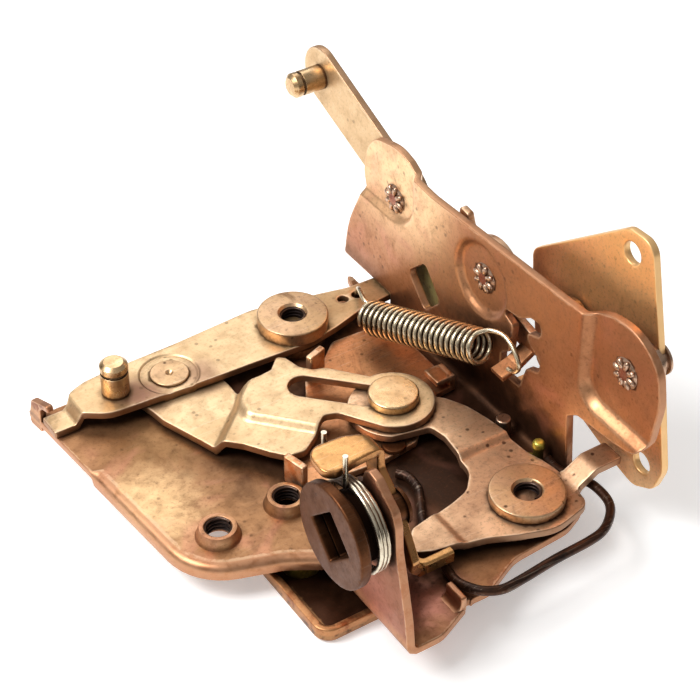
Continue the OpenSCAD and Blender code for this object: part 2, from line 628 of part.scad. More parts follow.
lock_z = 0.2;
lock_t = 1.4;
lock_shape = soft([[-31.6, 25.4, 0.5], [-16, 23.8, 4], [-7, 24.9, 2], [-3.6, 28.4, 6], [3.4, 34, 4],
  [8.4, 34.4, 1], [8.6, 58, 2], [-4.6, 58.6, 3], [-10.4, 53.4, 1], [-15.2, 51.6, 1], [-20.4, 43, 6],
  [-27, 35, 4], [-32.4, 31, 0.5]]);

module lock_lever() {
  color([0.66, 0.4, 0.24]) difference() {
    union() {
      slab_z(lock_z, lock_t) polygon(lock_shape);
      slab_z(lock_z, 6.2) polygon([[-33, 30.5], [-31.6, 31], [-30.4, 26], [-31.9, 25.6]]);
      slab_z(lock_z, 7.2) polygon([[-15, 51.6], [-10.8, 53.1], [-10.4, 51.7], [-14.5, 50.2]]);
      translate([7.2, 34.4, lock_z]) cube([1.4, 4.6, 3.8]);
      translate([4.2, 34.4, 2.7]) cube([3.2, 4.6, 1.3]);
    }
    rod_z(-1, 4, pivot_lock, 1.6 + run);
  }
}

module lock_pivot() {
  color([0.3, 0.24, 0.2]) translate([pivot_lock[0], pivot_lock[1], 0]) rotate_extrude($fn = 64)
    polygon([[0, -2.2], [2.4, -2.2], [2.4, -sheet], [1.6, -sheet], [1.6, lock_z + lock_t + 0.1],
      [2.4, lock_z + lock_t + 0.1], [2.2, lock_z + lock_t + 0.7], [0, lock_z + lock_t + 0.8]]);
}

// Tray under the base

tray_low = -8.2;
tray_top = -5;
tray_w = 1.5;
tray_box = [-45.1, -1.9, 6, 50];

function tray_outline(d, r) = soft([[tray_box[0] + d, tray_box[1] + d, r], [tray_box[2] - d,
  tray_box[1] + d, r], [tray_box[2] - d, tray_box[3] - d, r], [tray_box[0] + d, tray_box[3] - d, r]]);

module under_tray() {
  color([0.7, 0.48, 0.24]) difference() {
    slab_z(tray_low, tray_top - tray_low) polygon(tray_outline(0, 3.2));
    slab_z(tray_low + tray_w, 5) polygon(tray_outline(tray_w, 1.7));
  }
}

module tray_posts() {
  color([0.55, 0.52, 0.3]) for (p = [[-38.2, 16.4], [-2, 43], [-38.5, 43]]) {
    rod_z(tray_low + tray_w, -sheet, p, 3.8);
  }
}

// Outer plate, star wheel and what turns with it

plate_shape = soft([[27.8, 34, 3], [27.2, 28, 8], [24.4, 9, 3], [12, 6.2, 6], [0, 2, 3], [-5.8, 0.6, 4],
  [-11.2, 3.6, 4], [-13.2, 9.2, 5], [-8.5, 34.2, 0], [-3.9, 54.4, 3.2], [2.6, 54, 3.4]]);
tooth_n = 6;

module outer_plate() {
  color([0.76, 0.55, 0.3]) difference() {
    union() {
      slab_x(outer_x, outer_t) polygon(plate_shape);
      // foot turned back to the end plate
      translate([back_x, 12, 7.4]) cube([outer_x - back_x + 0.5, 11, outer_t]);
    }
    rod_x(outer_x - 1, outer_x + 3, [1, 49.6], screw_r);
    rod_x(outer_x - 1, outer_x + 3, [-7.5, 7.5], screw_r);
    rod_x(outer_x - 1, outer_x + 3, [21.2, 13.4], screw_r);
    rod_x(outer_x - 1, outer_x + 3, rotor_at, 3 + run);
    rod_x(outer_x - 1, outer_x + 3, shaft_3_at, shaft_r + seat);
  }
}

module rotor() {
  color([0.6, 0.58, 0.54]) slab_x(outer_x + outer_t + 0.3, 5) translate(rotor_at)
    difference() {
      circle(r = 10.4);
      for (i = [0:tooth_n - 1]) {
        rotate(i * 360 / tooth_n) translate([11.6, 0]) circle(r = 3.6);
      }
      circle(r = 3 + seat);
    }
}

module rotor_shaft() {
  color([0.66, 0.6, 0.52]) union() {
    rod_x(14.4, outer_x + outer_t + 5.3, rotor_at, 3);
    rod_x(outer_x - 1.6, outer_x - 0.2, rotor_at, 4.7);
  }
}

module ratchet_wheel() {
  color([0.6, 0.56, 0.5]) slab_x(15.3, 1.8) translate(rotor_at) difference() {
    circle(r = 6.6);
    for (i = [0:7]) {
      rotate(i * 45) translate([5.2, 0]) square([3, 2.4]);
    }
    circle(r = 3 + seat);
  }
}

// Pawl

pawl_x = lever_x - 0.3;
pawl_arm = soft([[25.6, 22.4, 0], [20.6, 20.8, 1], [18.2, 20, 0.5], [17.4, 17, 0.8], [23, 15.8, 2],
  [30, 17.8, 0], [33, 24, 0]]);

module pawl() {
  color([0.76, 0.5, 0.26]) difference() {
    union() {
      rod_x(pawl_x, pawl_x + lever_t, shaft_2_at, 7.5);
      slab_x(pawl_x, lever_t) polygon(pawl_arm);
      slab_x(pawl_x, lever_t) polygon([[34, 33], [40.6, 32.6], [41.6, 35.3], [44.2, 35.6], [44.6, 32.4], [38, 25]]);
      // tab bent through the end plate for the long spring
      slab_y(19.6, 3.8) polygon([[pawl_x + lever_t, 17.4], [pawl_x + lever_t, 16.2], [pawl_x + 0.4, 15.6],
        [12.4, 13.4], [8.6, 12.6], [8.4, 13.8], [12.2, 14.8], [pawl_x, 17.2]]);
    }
    rod_x(pawl_x - 1, pawl_x + 3, shaft_2_at, shaft_r + run);
    // the long spring's hook lies here
    translate([9.6, 19, 13.3]) cube([1.7, 2.4, 2.2]);
  }
}

// Shafts with an eight-lobed staked end

module staked_end(x, at) {
  slab_x(x, 1) translate(at) union() {
    circle(r = 2);
    for (i = [0:7]) {
      rotate(i * 45 + 10) translate([2.35, 0]) circle(r = 0.78);
    }
  }
}

module pawl_shaft() {
  color([0.66, 0.56, 0.5]) union() {
    staked_end(end_x + 0.2, shaft_2_at);
    rod_x(end_x + 0.6, pawl_x + lever_t + 0.3, shaft_2_at, shaft_r);
    rod_x(pawl_x + lever_t + 0.15, pawl_x + lever_t + 1.5, shaft_2_at, 4.2);
  }
}

module upper_arm_shaft() {
  color([0.66, 0.56, 0.5]) union() {
    staked_end(end_x + pad_d - 1, shaft_1_at);
    rod_x(end_x + pad_d - 0.4, lever_x + lever_t + 0.3, shaft_1_at, shaft_r);
    rod_x(lever_x + lever_t + 0.15, lever_x + lever_t + 1.5, shaft_1_at, 4.2);
  }
}

module tie_shaft() {
  color([0.66, 0.56, 0.5]) union() {
    staked_end(end_x + pad_3_d - 1, shaft_3_at);
    rod_x(end_x + pad_3_d - 0.4, outer_x + outer_t + 0.6, shaft_3_at, shaft_r);
    rod_x(end_x + pad_3_d + sheet, outer_x, shaft_3_at, 3.6);
    rod_x(outer_x + outer_t, outer_x + outer_t + 0.6, shaft_3_at, 3.2);
  }
}

// Upper arm

arm_u = unit(arm_pin_at - shaft_1_at);

module upper_arm() {
  color([0.88, 0.78, 0.58]) difference() {
    slab_x(lever_x, lever_t) union() {
      polygon([shaft_1_at + left_of(arm_u) * 5.6, shaft_1_at - left_of(arm_u) * 5.6,
        arm_pin_at - left_of(arm_u) * 6.2, arm_pin_at + left_of(arm_u) * 6.2]);
      translate(arm_pin_at) circle(r = 6.25);
      translate(shaft_1_at) circle(r = 8);
      polygon(soft([[56, 27, 0], [50.2, 9, 4], [50.4, 3.4, 3], [62, 4.6, 3], [70, 24, 0]]));
    }
    rod_x(lever_x - 1, lever_x + 4, shaft_1_at, shaft_r + run);
    rod_x(lever_x - 1, lever_x + 4, arm_pin_at, 1.8 + seat);
  }
}

module upper_arm_pin() {
  color([0.82, 0.7, 0.48]) union() {
    translate([lever_x, arm_pin_at[0], arm_pin_at[1]]) rotate([0, -90, 0]) grooved_pin(2.6, 7.4);
    rod_x(lever_x - 0.5, lever_x + lever_t, arm_pin_at, 1.8);
  }
}

frame_sheet();
strap();
strap_pin();
bush_a();
bush_b();
link_lever();
link_pivot();
crank();
crank_rivet();
key_cam();
key_lever();
torsion_spring();
long_spring();
wire_spring();
spring_stud();
stop_stud();
lock_lever();
lock_pivot();
under_tray();
tray_posts();
outer_plate();
rotor();
rotor_shaft();
ratchet_wheel();
pawl();
pawl_shaft();
upper_arm();
upper_arm_pin();
upper_arm_shaft();
tie_shaft();
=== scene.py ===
"""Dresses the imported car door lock: pressed sheets, turned parts, springs and plated finishes."""

import math
from collections import Counter

import bmesh
import bpy
import numpy as np
from mathutils import Matrix, Vector, geometry
from mathutils.bvhtree import BVHTree


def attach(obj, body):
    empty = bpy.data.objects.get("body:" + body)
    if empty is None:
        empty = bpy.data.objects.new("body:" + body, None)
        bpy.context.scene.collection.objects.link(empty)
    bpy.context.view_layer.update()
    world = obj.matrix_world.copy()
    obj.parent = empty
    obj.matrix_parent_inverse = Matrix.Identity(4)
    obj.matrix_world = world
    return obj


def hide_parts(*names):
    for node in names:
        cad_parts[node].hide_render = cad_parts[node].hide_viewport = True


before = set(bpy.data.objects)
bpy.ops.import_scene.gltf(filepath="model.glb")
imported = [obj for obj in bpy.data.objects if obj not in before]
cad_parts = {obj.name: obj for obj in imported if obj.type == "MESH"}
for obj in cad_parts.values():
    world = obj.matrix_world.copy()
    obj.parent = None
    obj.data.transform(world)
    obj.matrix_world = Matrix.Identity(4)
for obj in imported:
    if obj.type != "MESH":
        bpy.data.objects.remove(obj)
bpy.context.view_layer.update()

bl_info = {
    "name": "Car door lock",
    "version": (1, 0, 0),
    "blender": (4, 5, 0),
    "location": "View3D > Sidebar > Door lock",
    "description": "Pressed sheets, turned parts, springs and plated finishes of a car door lock",
    "category": "Object",
}

# Places and sizes shared with the CAD source, in millimetres
SHEET = 1.6
END_X = 12.0
PIVOT_LINK = np.array([-37.8, 65.0])
PIVOT_LOCK = (-11.5, 26.0)
BUSH_A = (-9.65, 65.0)
SLOT_PIN = np.array([-6.8, 33.3])
SHAFT_1 = np.array([63.2, 26.9])
SHAFT_2 = (32.7, 26.9)
SHAFT_3 = (-7.2, 31.4)
ROTOR_AT = (13.5, 27.0)
CAM_AT = (-4.3, 21.1)
ARM_PIN = np.array([93.5, 38.5])
BOSSES = [(-50.2, 25.0), (-35.7, 25.3)]
STRAP_Z, STRAP_T = 2.5, 1.5
STRAP_TOP = STRAP_Z + STRAP_T
LEVER_T = 1.6
CRANK_Z = 1.5
LIFT_Z = 4.3
TAP_R = 2.5
SHAFT_HOLE = 2.65
ROTOR_HOLE = 3.05

# How finely shapes are made: the step of an arc in radians and of a turned profile in millimetres, the least
# gap between two points, the doubled area of a sliver, and the points round a cut edge and a drawn rim
ARC_STEP = 0.15
LATHE_STEP = 0.7
NEXT_POINT = 0.02
SLIVER = 1e-5
CUT_EDGE = 6
RIM_EDGE = 12

# Metres: points that count as one, and the rays that look for corners
DOUBLED = 2e-6
RAYS = 14
RAY_LIFT = 5e-5
RAY_REACH = 0.009

# Turn and share of the two sets of scratches
SCRATCHES = ((0.5, 0.24), (-0.9, 0.16))

# The floor in metres, and the camera's own axes and place, solved from the photo
FLOOR_Z = -0.00825
FLOOR_HALF = 3
CAMERA_RIGHT = (0.83867, -0.54464, 0)
CAMERA_UP = (0.34643, 0.53345, 0.77162)
CAMERA_BACK = (-0.42026, -0.64714, 0.63608)
CAMERA_AT = (-0.169953, -0.202856, 0.254431)
LAMPS_AIM = Vector((0, 0.02, 0.01))


# ---- outlines in a plane


def unit(v):
    v = np.asarray(v, float)
    return v / np.linalg.norm(v)


def corner(a, p, b, r):
    """The points of the arc that rounds the corner at p."""
    a, p, b = (np.array(q[:2], float) for q in (a, p, b))
    if r <= 0:
        return [p]
    u, v = unit(a - p), unit(b - p)
    half = math.acos(max(-1, min(1, u @ v))) / 2
    if half > 1.55:
        return [p]
    r = min(r, 0.49 * min(np.linalg.norm(a - p), np.linalg.norm(b - p)) * math.tan(half))
    c = p + unit(u + v) * r / math.sin(half)
    s, e = p + u * r / math.tan(half), p + v * r / math.tan(half)
    a0, a1 = math.atan2(*(s - c)[::-1]), math.atan2(*(e - c)[::-1])
    d = (a1 - a0 + math.pi) % (2 * math.pi) - math.pi
    n = max(2, math.ceil(abs(d) / ARC_STEP))
    return [c + r * np.array([math.cos(a0 + d * i / n), math.sin(a0 + d * i / n)]) for i in range(n + 1)]


def rounded(q, i, least=0.0):
    """Corner i of a row of x, y and radius; one without a radius is sharp."""
    return corner(q[i - 1], q[i], q[(i + 1) % len(q)], max(q[i][2] if len(q[i]) > 2 else 0, least))


def soft(q, least=0.35):
    """A closed outline from corners; a sharp corner gets the least radius."""
    return np.array([p for i in range(len(q)) for p in rounded(q, i, least)])


def soft_run(q):
    """An open run of corners, its inner ones rounded."""
    inner = [p for i in range(1, len(q) - 1) for p in rounded(q, i)]
    return np.array([q[0][:2], *inner, q[-1][:2]], float)


def ring(at, r, n=40):
    """A circle of n points."""
    a = np.linspace(0, 2 * math.pi, n, endpoint=False)
    return np.stack([at[0] + r * np.cos(a), at[1] + r * np.sin(a)], 1)


def arc(at, r, start, end, n):
    """n points of an arc between two angles in degrees."""
    a = np.radians(np.linspace(start, end, n))
    return np.array(at) + r * np.stack([np.cos(a), np.sin(a)], 1)


def line(start, end, n):
    """n points of a straight line, in the plane."""
    return np.column_stack([np.linspace(a, b, n) for a, b in zip(start, end)])


def turned(loop, way):
    """The loop anticlockwise for way 1 and clockwise for way -1, without doubled points."""
    loop = np.asarray(loop, float)
    loop = loop[np.linalg.norm(loop - np.roll(loop, 1, 0), axis=1) > NEXT_POINT]
    x, y = loop[:, 0], loop[:, 1]
    area = (x * np.roll(y, -1) - np.roll(x, -1) * y).sum()
    return loop if area * way > 0 else loop[::-1]


def resampled(loop, step):
    """The loop with points no further apart than the step."""
    out = []
    for a, b in zip(loop, np.roll(loop, -1, 0)):
        n = max(1, math.ceil(np.linalg.norm(b - a) / step))
        out += [a + (b - a) * i / n for i in range(n)]
    return np.array(out)


def inward(loop):
    """At each point, the mitred direction that moves an outline one unit to its left."""
    d = np.roll(loop, -1, 0) - loop
    d /= np.linalg.norm(d, axis=1)[:, None]
    left = np.stack([-d[:, 1], d[:, 0]], 1)
    prev = np.roll(left, 1, 0)
    s = left + prev
    return s / np.maximum(1 + (left * prev).sum(1), 0.5)[:, None]


def within(pts, loop):
    """Which points lie inside a closed outline."""
    a, b = loop, np.roll(loop, -1, 0)
    x, y = pts[:, :1], pts[:, 1:2]
    rise = np.where(b[:, 1] == a[:, 1], 1e-12, b[:, 1] - a[:, 1])
    crossing = a[:, 0] + (y - a[:, 1]) * (b[:, 0] - a[:, 0]) / rise
    return (((a[:, 1] > y) != (b[:, 1] > y)) & (x < crossing)).sum(1) % 2 == 1


def away(pts, row, closed=True):
    """Distance of each point from a row of points."""
    a = row if closed else row[:-1]
    b = np.roll(row, -1, 0) if closed else row[1:]
    best = np.full(len(pts), 1e9)
    for p, q in zip(a, b):
        d = q - p
        t = np.clip(((pts - p) @ d) / max(d @ d, 1e-12), 0, 1)
        best = np.minimum(best, np.linalg.norm(pts - p - t[:, None] * d, axis=1))
    return best


def depth_in(pts, loop):
    """Distance inside an outline, negative outside it."""
    return np.where(within(pts, loop), 1, -1) * away(pts, loop)


def ease(x):
    """A smooth step from 0 to 1."""
    x = np.clip(x, 0, 1)
    return x * x * (3 - 2 * x)


# ---- sheets


def plain_edge(t, e, n):
    """Inset and depth of n points round a rounded cut edge, from the top face to the bottom face."""
    a = np.linspace(0, math.pi / 2, (n - 2) // 2 if n > CUT_EDGE else 3)
    top = [(e * (1 - math.sin(x)), e * (1 - math.cos(x))) for x in a]
    side = [(0, t * 0.42), (0, t * 0.58)] if n > CUT_EDGE else []
    return np.array(top + side + [(i, t - d) for i, d in reversed(top)])


def without_slivers(tris, uv):
    """The triangles without those of no area that lie on the outside of a straight edge."""
    def sides(f):
        return [frozenset((f[i], f[i - 1])) for i in range(3)]

    a, b, c = (uv[[f[i] for f in tris]] for i in range(3))
    area = np.abs((b - a)[:, 0] * (c - a)[:, 1] - (b - a)[:, 1] * (c - a)[:, 0])
    thin = {f: max(sides(f), key=lambda e: np.linalg.norm(np.subtract(*uv[list(e)])))
            for f, doubled in zip(tris, area) if doubled < SLIVER}
    while True:
        uses = Counter(e for f in tris for e in sides(f))
        kept = [f for f in tris if not (f in thin and uses[thin[f]] == 1)]
        if len(kept) == len(tris):
            return kept
        tris = kept


def plate(outer, holes=(), t=SHEET, edge=0.22, step=1.0, height=None, under=None, bend=None, rim=None,
          extra=()):
    """A sheet with rounded edges. height lifts its face and under its lower one, bend folds it, rim is
    (weights, profile) of a drawn edge, and extra are rows of points that the face keeps."""
    loops = [resampled(turned(outer, 1), step)] + [resampled(turned(h, -1), step) for h in holes]
    n = RIM_EDGE if rim else CUT_EDGE
    base = plain_edge(t, edge, n)
    drawn = rim[1] if rim else base
    rows = []
    for k, loop in enumerate(loops):
        share = (rim[0](loop) if rim and k == 0 else np.zeros(len(loop)))[:, None, None]
        prof = base * (1 - share) + drawn * share
        rows.append((len(loop), loop[:, None] + inward(loop)[:, None] * prof[:, :, :1], prof[:, :, 1]))
    rings = [r[1][:, 0] for r in rows]

    def inside(pts):
        in_hole = np.zeros(len(pts), bool)
        for r in rings[1:]:
            in_hole |= within(pts, r)
        return within(pts, rings[0]) & ~in_hole

    def inner(pts, gap):
        pts = pts[inside(pts)]
        return pts[np.all([away(pts, r) > gap for r in rings], 0)]

    lo, hi = loops[0].min(0), loops[0].max(0)
    gx, gy = np.meshgrid(np.arange(lo[0], hi[0], step), np.arange(lo[1], hi[1], step))
    gx[1::2] += step / 2
    grid = inner(np.stack([gx.ravel(), gy.ravel()], 1), step * 0.45)
    marks = inner(np.concatenate([np.zeros((0, 2)), *extra]), 0.12)
    if len(marks):
        near = np.array([np.min(np.sum((marks - g) ** 2, 1)) for g in grid])
        grid = grid[near > (step * 0.4) ** 2]
    ties, at = [], 0
    for r in rings:
        ties += [(at + i, at + (i + 1) % len(r)) for i in range(len(r))]
        at += len(r)
    flat = [Vector(p) for p in np.concatenate(rings + [marks, grid])]
    out, _, tris, origin, _, _ = geometry.delaunay_2d_cdt(flat, ties, [], 0, 1e-6)
    uv = np.array([tuple(p) for p in out])
    now = {i: k for k, ids in enumerate(origin) for i in ids}
    keep = inside(np.array([uv[list(f)].mean(0) for f in tris]))
    tris = without_slivers([tuple(f) for f, k in zip(tris, keep) if k], uv)
    height = height or (lambda q: np.zeros(len(q)))

    def lifted(q, d):
        top, e = height(q), 0.05
        slope = np.hypot(*(height(q + v) - height(q - v) for v in np.eye(2) * e)) / (2 * e)
        low = (under(q) if under else top) - t * np.minimum(np.sqrt(1 + slope**2), 1 if under else 1.5)
        return np.column_stack([q, np.where(d > t, low - (d - t), top + (low - top) * np.minimum(d / t, 1))])

    pts = [lifted(uv, np.zeros(len(uv))), lifted(uv, np.full(len(uv), t))]
    m = len(uv)
    faces = tris + [tuple(m + i for i in reversed(f)) for f in tris]
    start, at = 2 * m, 0
    for count, where, deep in rows:
        ids = np.zeros((count, n), int)
        for i in range(count):
            ids[i, 0], ids[i, -1] = now[at + i], m + now[at + i]
        ids[:, 1:-1] = np.arange(count * (n - 2)).reshape(count, n - 2) + start
        pts.append(lifted(where[:, 1:-1].reshape(-1, 2), deep[:, 1:-1].ravel()))
        start += count * (n - 2)
        at += count
        for i in range(count):
            j = (i + 1) % count
            for k in range(n - 1):
                f = (ids[i, k], ids[i, k + 1], ids[j, k + 1], ids[j, k])
                faces += face_of(int(x) for x in f)
    pts = np.concatenate(pts)
    wear = np.ones(len(pts))
    wear[:2 * m] = 0
    for i in range(at):
        wear[[now[i], m + now[i]]] = 0.5
    return (bend(pts) if bend else pts), faces, wear


def face_of(corners):
    """The face of the corners that differ, if at least three do."""
    f = tuple(dict.fromkeys(corners))
    return [f] if len(f) > 2 else []


def on_x(x0):
    """Puts a plate drawn in y and z with its face at x0, looking along +X."""
    return lambda p: np.column_stack([x0 + p[:, 2], p[:, 0], p[:, 1]])


def on_y(y0):
    """Puts a plate drawn in x and z with its face at y0, looking along -Y."""
    return lambda p: np.column_stack([p[:, 0], y0 - p[:, 2], p[:, 1]])


def at_z(z0):
    return lambda p: p + [0, 0, z0]


def followed(path):
    """A sheet bent along a path of (across, up, radius): gives the place for a distance along its face and a
    height off it, and the length of the path."""
    row = soft_run(path)
    seg = np.linalg.norm(np.diff(row, axis=0), axis=1)
    run = np.concatenate([[0], np.cumsum(seg)])
    d = np.diff(row, axis=0) / seg[:, None]
    joint = np.concatenate([[d[0]], (d[1:] + d[:-1]) / 2, [d[-1]]])
    joint /= np.linalg.norm(joint, axis=1)[:, None]

    def place(s, w):
        k = np.clip(np.searchsorted(run, s, side="right") - 1, 0, len(seg) - 1)
        f = (s - run[k]) / seg[k]
        p = row[k] + (row[k + 1] - row[k]) * f[:, None]
        g = np.clip(f, 0, 1)[:, None]
        tangent = joint[k] * (1 - g) + joint[k + 1] * g
        tangent /= np.linalg.norm(tangent, axis=1)[:, None]
        return p + np.stack([-tangent[:, 1], tangent[:, 0]], 1) * w[:, None]

    return place, run[-1]


# ---- turned and swept shapes


def lathe(profile, at=(0, 0, 0), axis="z", n=64):
    """A turned shape from (radius, height, corner radius); axis z points up and axis x along +X."""
    row = soft_run(profile)
    row = np.concatenate([np.linspace(p, q, max(2, math.ceil(np.linalg.norm(q - p) / LATHE_STEP) + 1))[:-1]
                          for p, q in zip(row, row[1:])] + [row[-1:]])
    a = np.linspace(0, 2 * math.pi, n, endpoint=False)
    pts, ids = [], []
    for r, z in row:
        if r < 1e-6:
            ids.append([len(pts)] * n)
            pts.append((0, 0, z))
        else:
            ids.append([len(pts) + i for i in range(n)])
            pts += [(r * math.cos(x), r * math.sin(x), z) for x in a]
    faces = []
    for u, v in zip(ids, ids[1:]):
        for i in range(n):
            j = (i + 1) % n
            faces += face_of((u[i], u[j], v[j], v[i]))
    p = np.array(pts, float)
    if axis == "x":
        p = p[:, [2, 0, 1]]
    return p + np.array(at, float), faces


def box_run(path, w, t, n0, edge=0.25):
    """A flat strip of width w and thickness t swept along a path of points, with rounded edges."""
    path = np.array(path, float)
    tangent = np.gradient(path, axis=0)
    tangent /= np.linalg.norm(tangent, axis=1)[:, None]
    q = soft([(-w / 2, -t / 2, edge), (w / 2, -t / 2, edge), (w / 2, t / 2, edge), (-w / 2, t / 2, edge)])
    pts, m, normal = [], len(q), np.array(n0, float)
    for p, d in zip(path, tangent):
        normal = unit(normal - (normal @ d) * d)
        side = np.cross(d, normal)
        pts += [p + side * u + normal * v for u, v in q]
    faces = [(i * m + j, i * m + (j + 1) % m, (i + 1) * m + (j + 1) % m, (i + 1) * m + j)
             for i in range(len(path) - 1) for j in range(m)]
    last = (len(path) - 1) * m
    faces += [tuple(range(m))[::-1], tuple(range(last, last + m))]
    return np.array(pts), faces


def curve_through(p, k):
    """A smooth row of points through the given ones."""
    p = [np.array(q, float) for q in p]
    out = []
    for i in range(len(p) - 1):
        a, b, c, d = p[max(i - 1, 0)], p[i], p[i + 1], p[min(i + 2, len(p) - 1)]
        for j in range(k):
            t = j / k
            out.append((2 * b + (c - a) * t + (2 * a - 5 * b + 4 * c - d) * t * t
                        + (3 * b - a - 3 * c + d) * t**3) / 2)
    return np.array(out + [p[-1]])


# ---- from points and faces to finished pieces


def outwards(mesh, merge=False):
    """The mesh smooth and with its faces outwards, its doubled points merged if asked."""
    b = bmesh.new()
    b.from_mesh(mesh)
    if merge:
        bmesh.ops.remove_doubles(b, verts=b.verts, dist=DOUBLED)
    bmesh.ops.recalc_face_normals(b, faces=b.faces)
    b.to_mesh(mesh)
    b.free()
    mesh.shade_smooth()
    return mesh


def mesh_of(name, shells, finish_name):
    """One mesh from closed shells in millimetres. wear is 1 on the cut edges of a sheet."""
    pts, faces, wear, at = [], [], [], 0
    for p, f, *edges in shells:
        pts.append(np.asarray(p, float))
        wear.append(edges[0] if edges else np.zeros(len(p)))
        faces += [tuple(at + i for i in q) for q in f]
        at += len(p)
    mesh = bpy.data.meshes.new(name)
    mesh.from_pydata((np.concatenate(pts) / 1000).tolist(), [], faces)
    wear = np.concatenate(wear).astype(np.float32)
    mesh.attributes.new("wear", "FLOAT", "POINT").data.foreach_set("value", wear)
    mesh.materials.append(finish(finish_name))
    return outwards(mesh, merge=True)


def piece(name, body, shells, finish_name, slot, *nodes, sharp=50):
    """A finished piece on its body that stands for CAD nodes, from shells or from a mesh with its finish."""
    mesh = shells if isinstance(shells, bpy.types.Mesh) else mesh_of(name, shells, finish_name)
    mesh.set_sharp_from_angle(angle=math.radians(sharp))
    obj = bpy.data.objects.new(name, mesh)
    bpy.context.scene.collection.objects.link(obj)
    even = obj.modifiers.new("even_normals", "WEIGHTED_NORMAL")
    even.keep_sharp = True
    even.weight = 60
    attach(obj, body)
    if nodes:
        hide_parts(*nodes)
    return obj


# ---- node trees for what repeats or follows a path


def node(tree, kind, inputs=(), **settings):
    """A new node with its settings, and its inputs set to values or linked to sockets."""
    made = tree.nodes.new(kind)
    for key, value in settings.items():
        setattr(made, key, value)
    for key, value in dict(inputs).items():
        if isinstance(value, bpy.types.NodeSocket):
            tree.links.new(value, made.inputs[key])
        else:
            made.inputs[key].default_value = value
    return made


def node_tree(name, *inputs):
    """A geometry tree with inputs of (name, socket kind, default) and a finish, and its input sockets."""
    tree = bpy.data.node_groups.new(name, "GeometryNodeTree")
    for way in ("INPUT", "OUTPUT"):
        tree.interface.new_socket("Geometry", in_out=way, socket_type="NodeSocketGeometry")
    for label, kind, value in inputs:
        socket = tree.interface.new_socket(label, in_out="INPUT", socket_type="NodeSocket" + kind)
        socket.default_value = value
    tree.interface.new_socket("Finish", in_out="INPUT", socket_type="NodeSocketMaterial")
    return tree, tree.nodes.new("NodeGroupInput").outputs


def ended(tree, given, geometry_from):
    """Every tree ends in real geometry with its finish set."""
    real = node(tree, "GeometryNodeRealizeInstances", {0: geometry_from.outputs[0]})
    paint = node(tree, "GeometryNodeSetMaterial", {"Geometry": real.outputs[0], "Material": given["Finish"]})
    node(tree, "NodeGroupOutput", {0: paint.outputs[0]})
    return tree


def swept(tree, path, section):
    return node(tree, "GeometryNodeCurveToMesh", {
        "Curve": path.outputs[0], "Profile Curve": section.outputs[0], "Fill Caps": True})


def wire_tree(name):
    """A round wire that follows the edges of its path."""
    tree, given = node_tree(name, ("Wire radius", "Float", 0.0005), ("Sides", "Int", 12))
    path = node(tree, "GeometryNodeMeshToCurve", {0: given["Geometry"]})
    section = node(tree, "GeometryNodeCurvePrimitiveCircle", {
        "Radius": given["Wire radius"], "Resolution": given["Sides"]})
    return ended(tree, given, swept(tree, path, section))


def thread_tree(name):
    """A screw thread's ridge that winds up inside a hole."""
    tree, given = node_tree(name, ("Radius", "Float", 0.0025), ("Ridge", "Float", 0.0003),
                            ("Turns", "Float", 6.0), ("Height", "Float", 0.005))
    wind = node(tree, "GeometryNodeCurveSpiral", {
        "Resolution": 40, "Start Radius": given["Radius"], "End Radius": given["Radius"],
        "Rotations": given["Turns"], "Height": given["Height"]})
    section = node(tree, "GeometryNodeCurvePrimitiveCircle", {"Resolution": 6, "Radius": given["Ridge"]})
    return ended(tree, given, swept(tree, wind, section))


def petal_tree(name):
    """Staked petals set round a shaft's end."""
    tree, given = node_tree(name, ("Petals", "Int", 8), ("Ring radius", "Float", 0.002),
                            ("Petal size", "Vector", (0.0011, 0.00062, 0.0006)))
    spots = node(tree, "GeometryNodeMeshCircle", {
        "Vertices": given["Petals"], "Radius": given["Ring radius"]})
    ball = node(tree, "GeometryNodeMeshUVSphere", {"Segments": 16, "Rings": 10, "Radius": 1.0})
    place = node(tree, "GeometryNodeInputPosition")
    aim = node(tree, "FunctionNodeAlignRotationToVector", {"Vector": place.outputs[0]}, axis="X")
    put = node(tree, "GeometryNodeInstanceOnPoints", {
        "Points": spots.outputs[0], "Instance": ball.outputs[0], "Rotation": aim.outputs[0],
        "Scale": given["Petal size"]})
    return ended(tree, given, put)


TREES = {"wire_along_path": wire_tree, "thread_in_hole": thread_tree, "staked_petals": petal_tree}


def grown(name, kind, finish_name, values, path=((0, 0, 0),)):
    """The plain mesh that a kind of tree makes, along a path of points in metres if it follows one."""
    tree = bpy.data.node_groups.get(kind) or TREES[kind](kind)
    values["Finish"] = finish(finish_name)
    seed = bpy.data.meshes.new(name + "_path")
    seed.from_pydata([tuple(p) for p in path], [(i, i + 1) for i in range(len(path) - 1)], [])
    holder = bpy.data.objects.new(name + "_maker", seed)
    bpy.context.scene.collection.objects.link(holder)
    make = holder.modifiers.new("make", "NODES")
    make.node_group = tree
    for item in tree.interface.items_tree:
        if item.in_out == "INPUT" and item.name in values:
            make[item.identifier] = values[item.name]
    view = bpy.context.evaluated_depsgraph_get()
    mesh = bpy.data.meshes.new_from_object(holder.evaluated_get(view), depsgraph=view)
    mesh.name = name
    bpy.data.objects.remove(holder)
    return outwards(mesh)


def wire_piece(name, body, path_mm, radius, finish_name, slot, *nodes, sides=12):
    """A piece of round wire along a path in millimetres; its radius is in metres."""
    mesh = grown(name, "wire_along_path", finish_name, {"Wire radius": radius, "Sides": sides},
                 np.array(path_mm) / 1000)
    return piece(name, body, mesh, None, slot, *nodes, sharp=60)


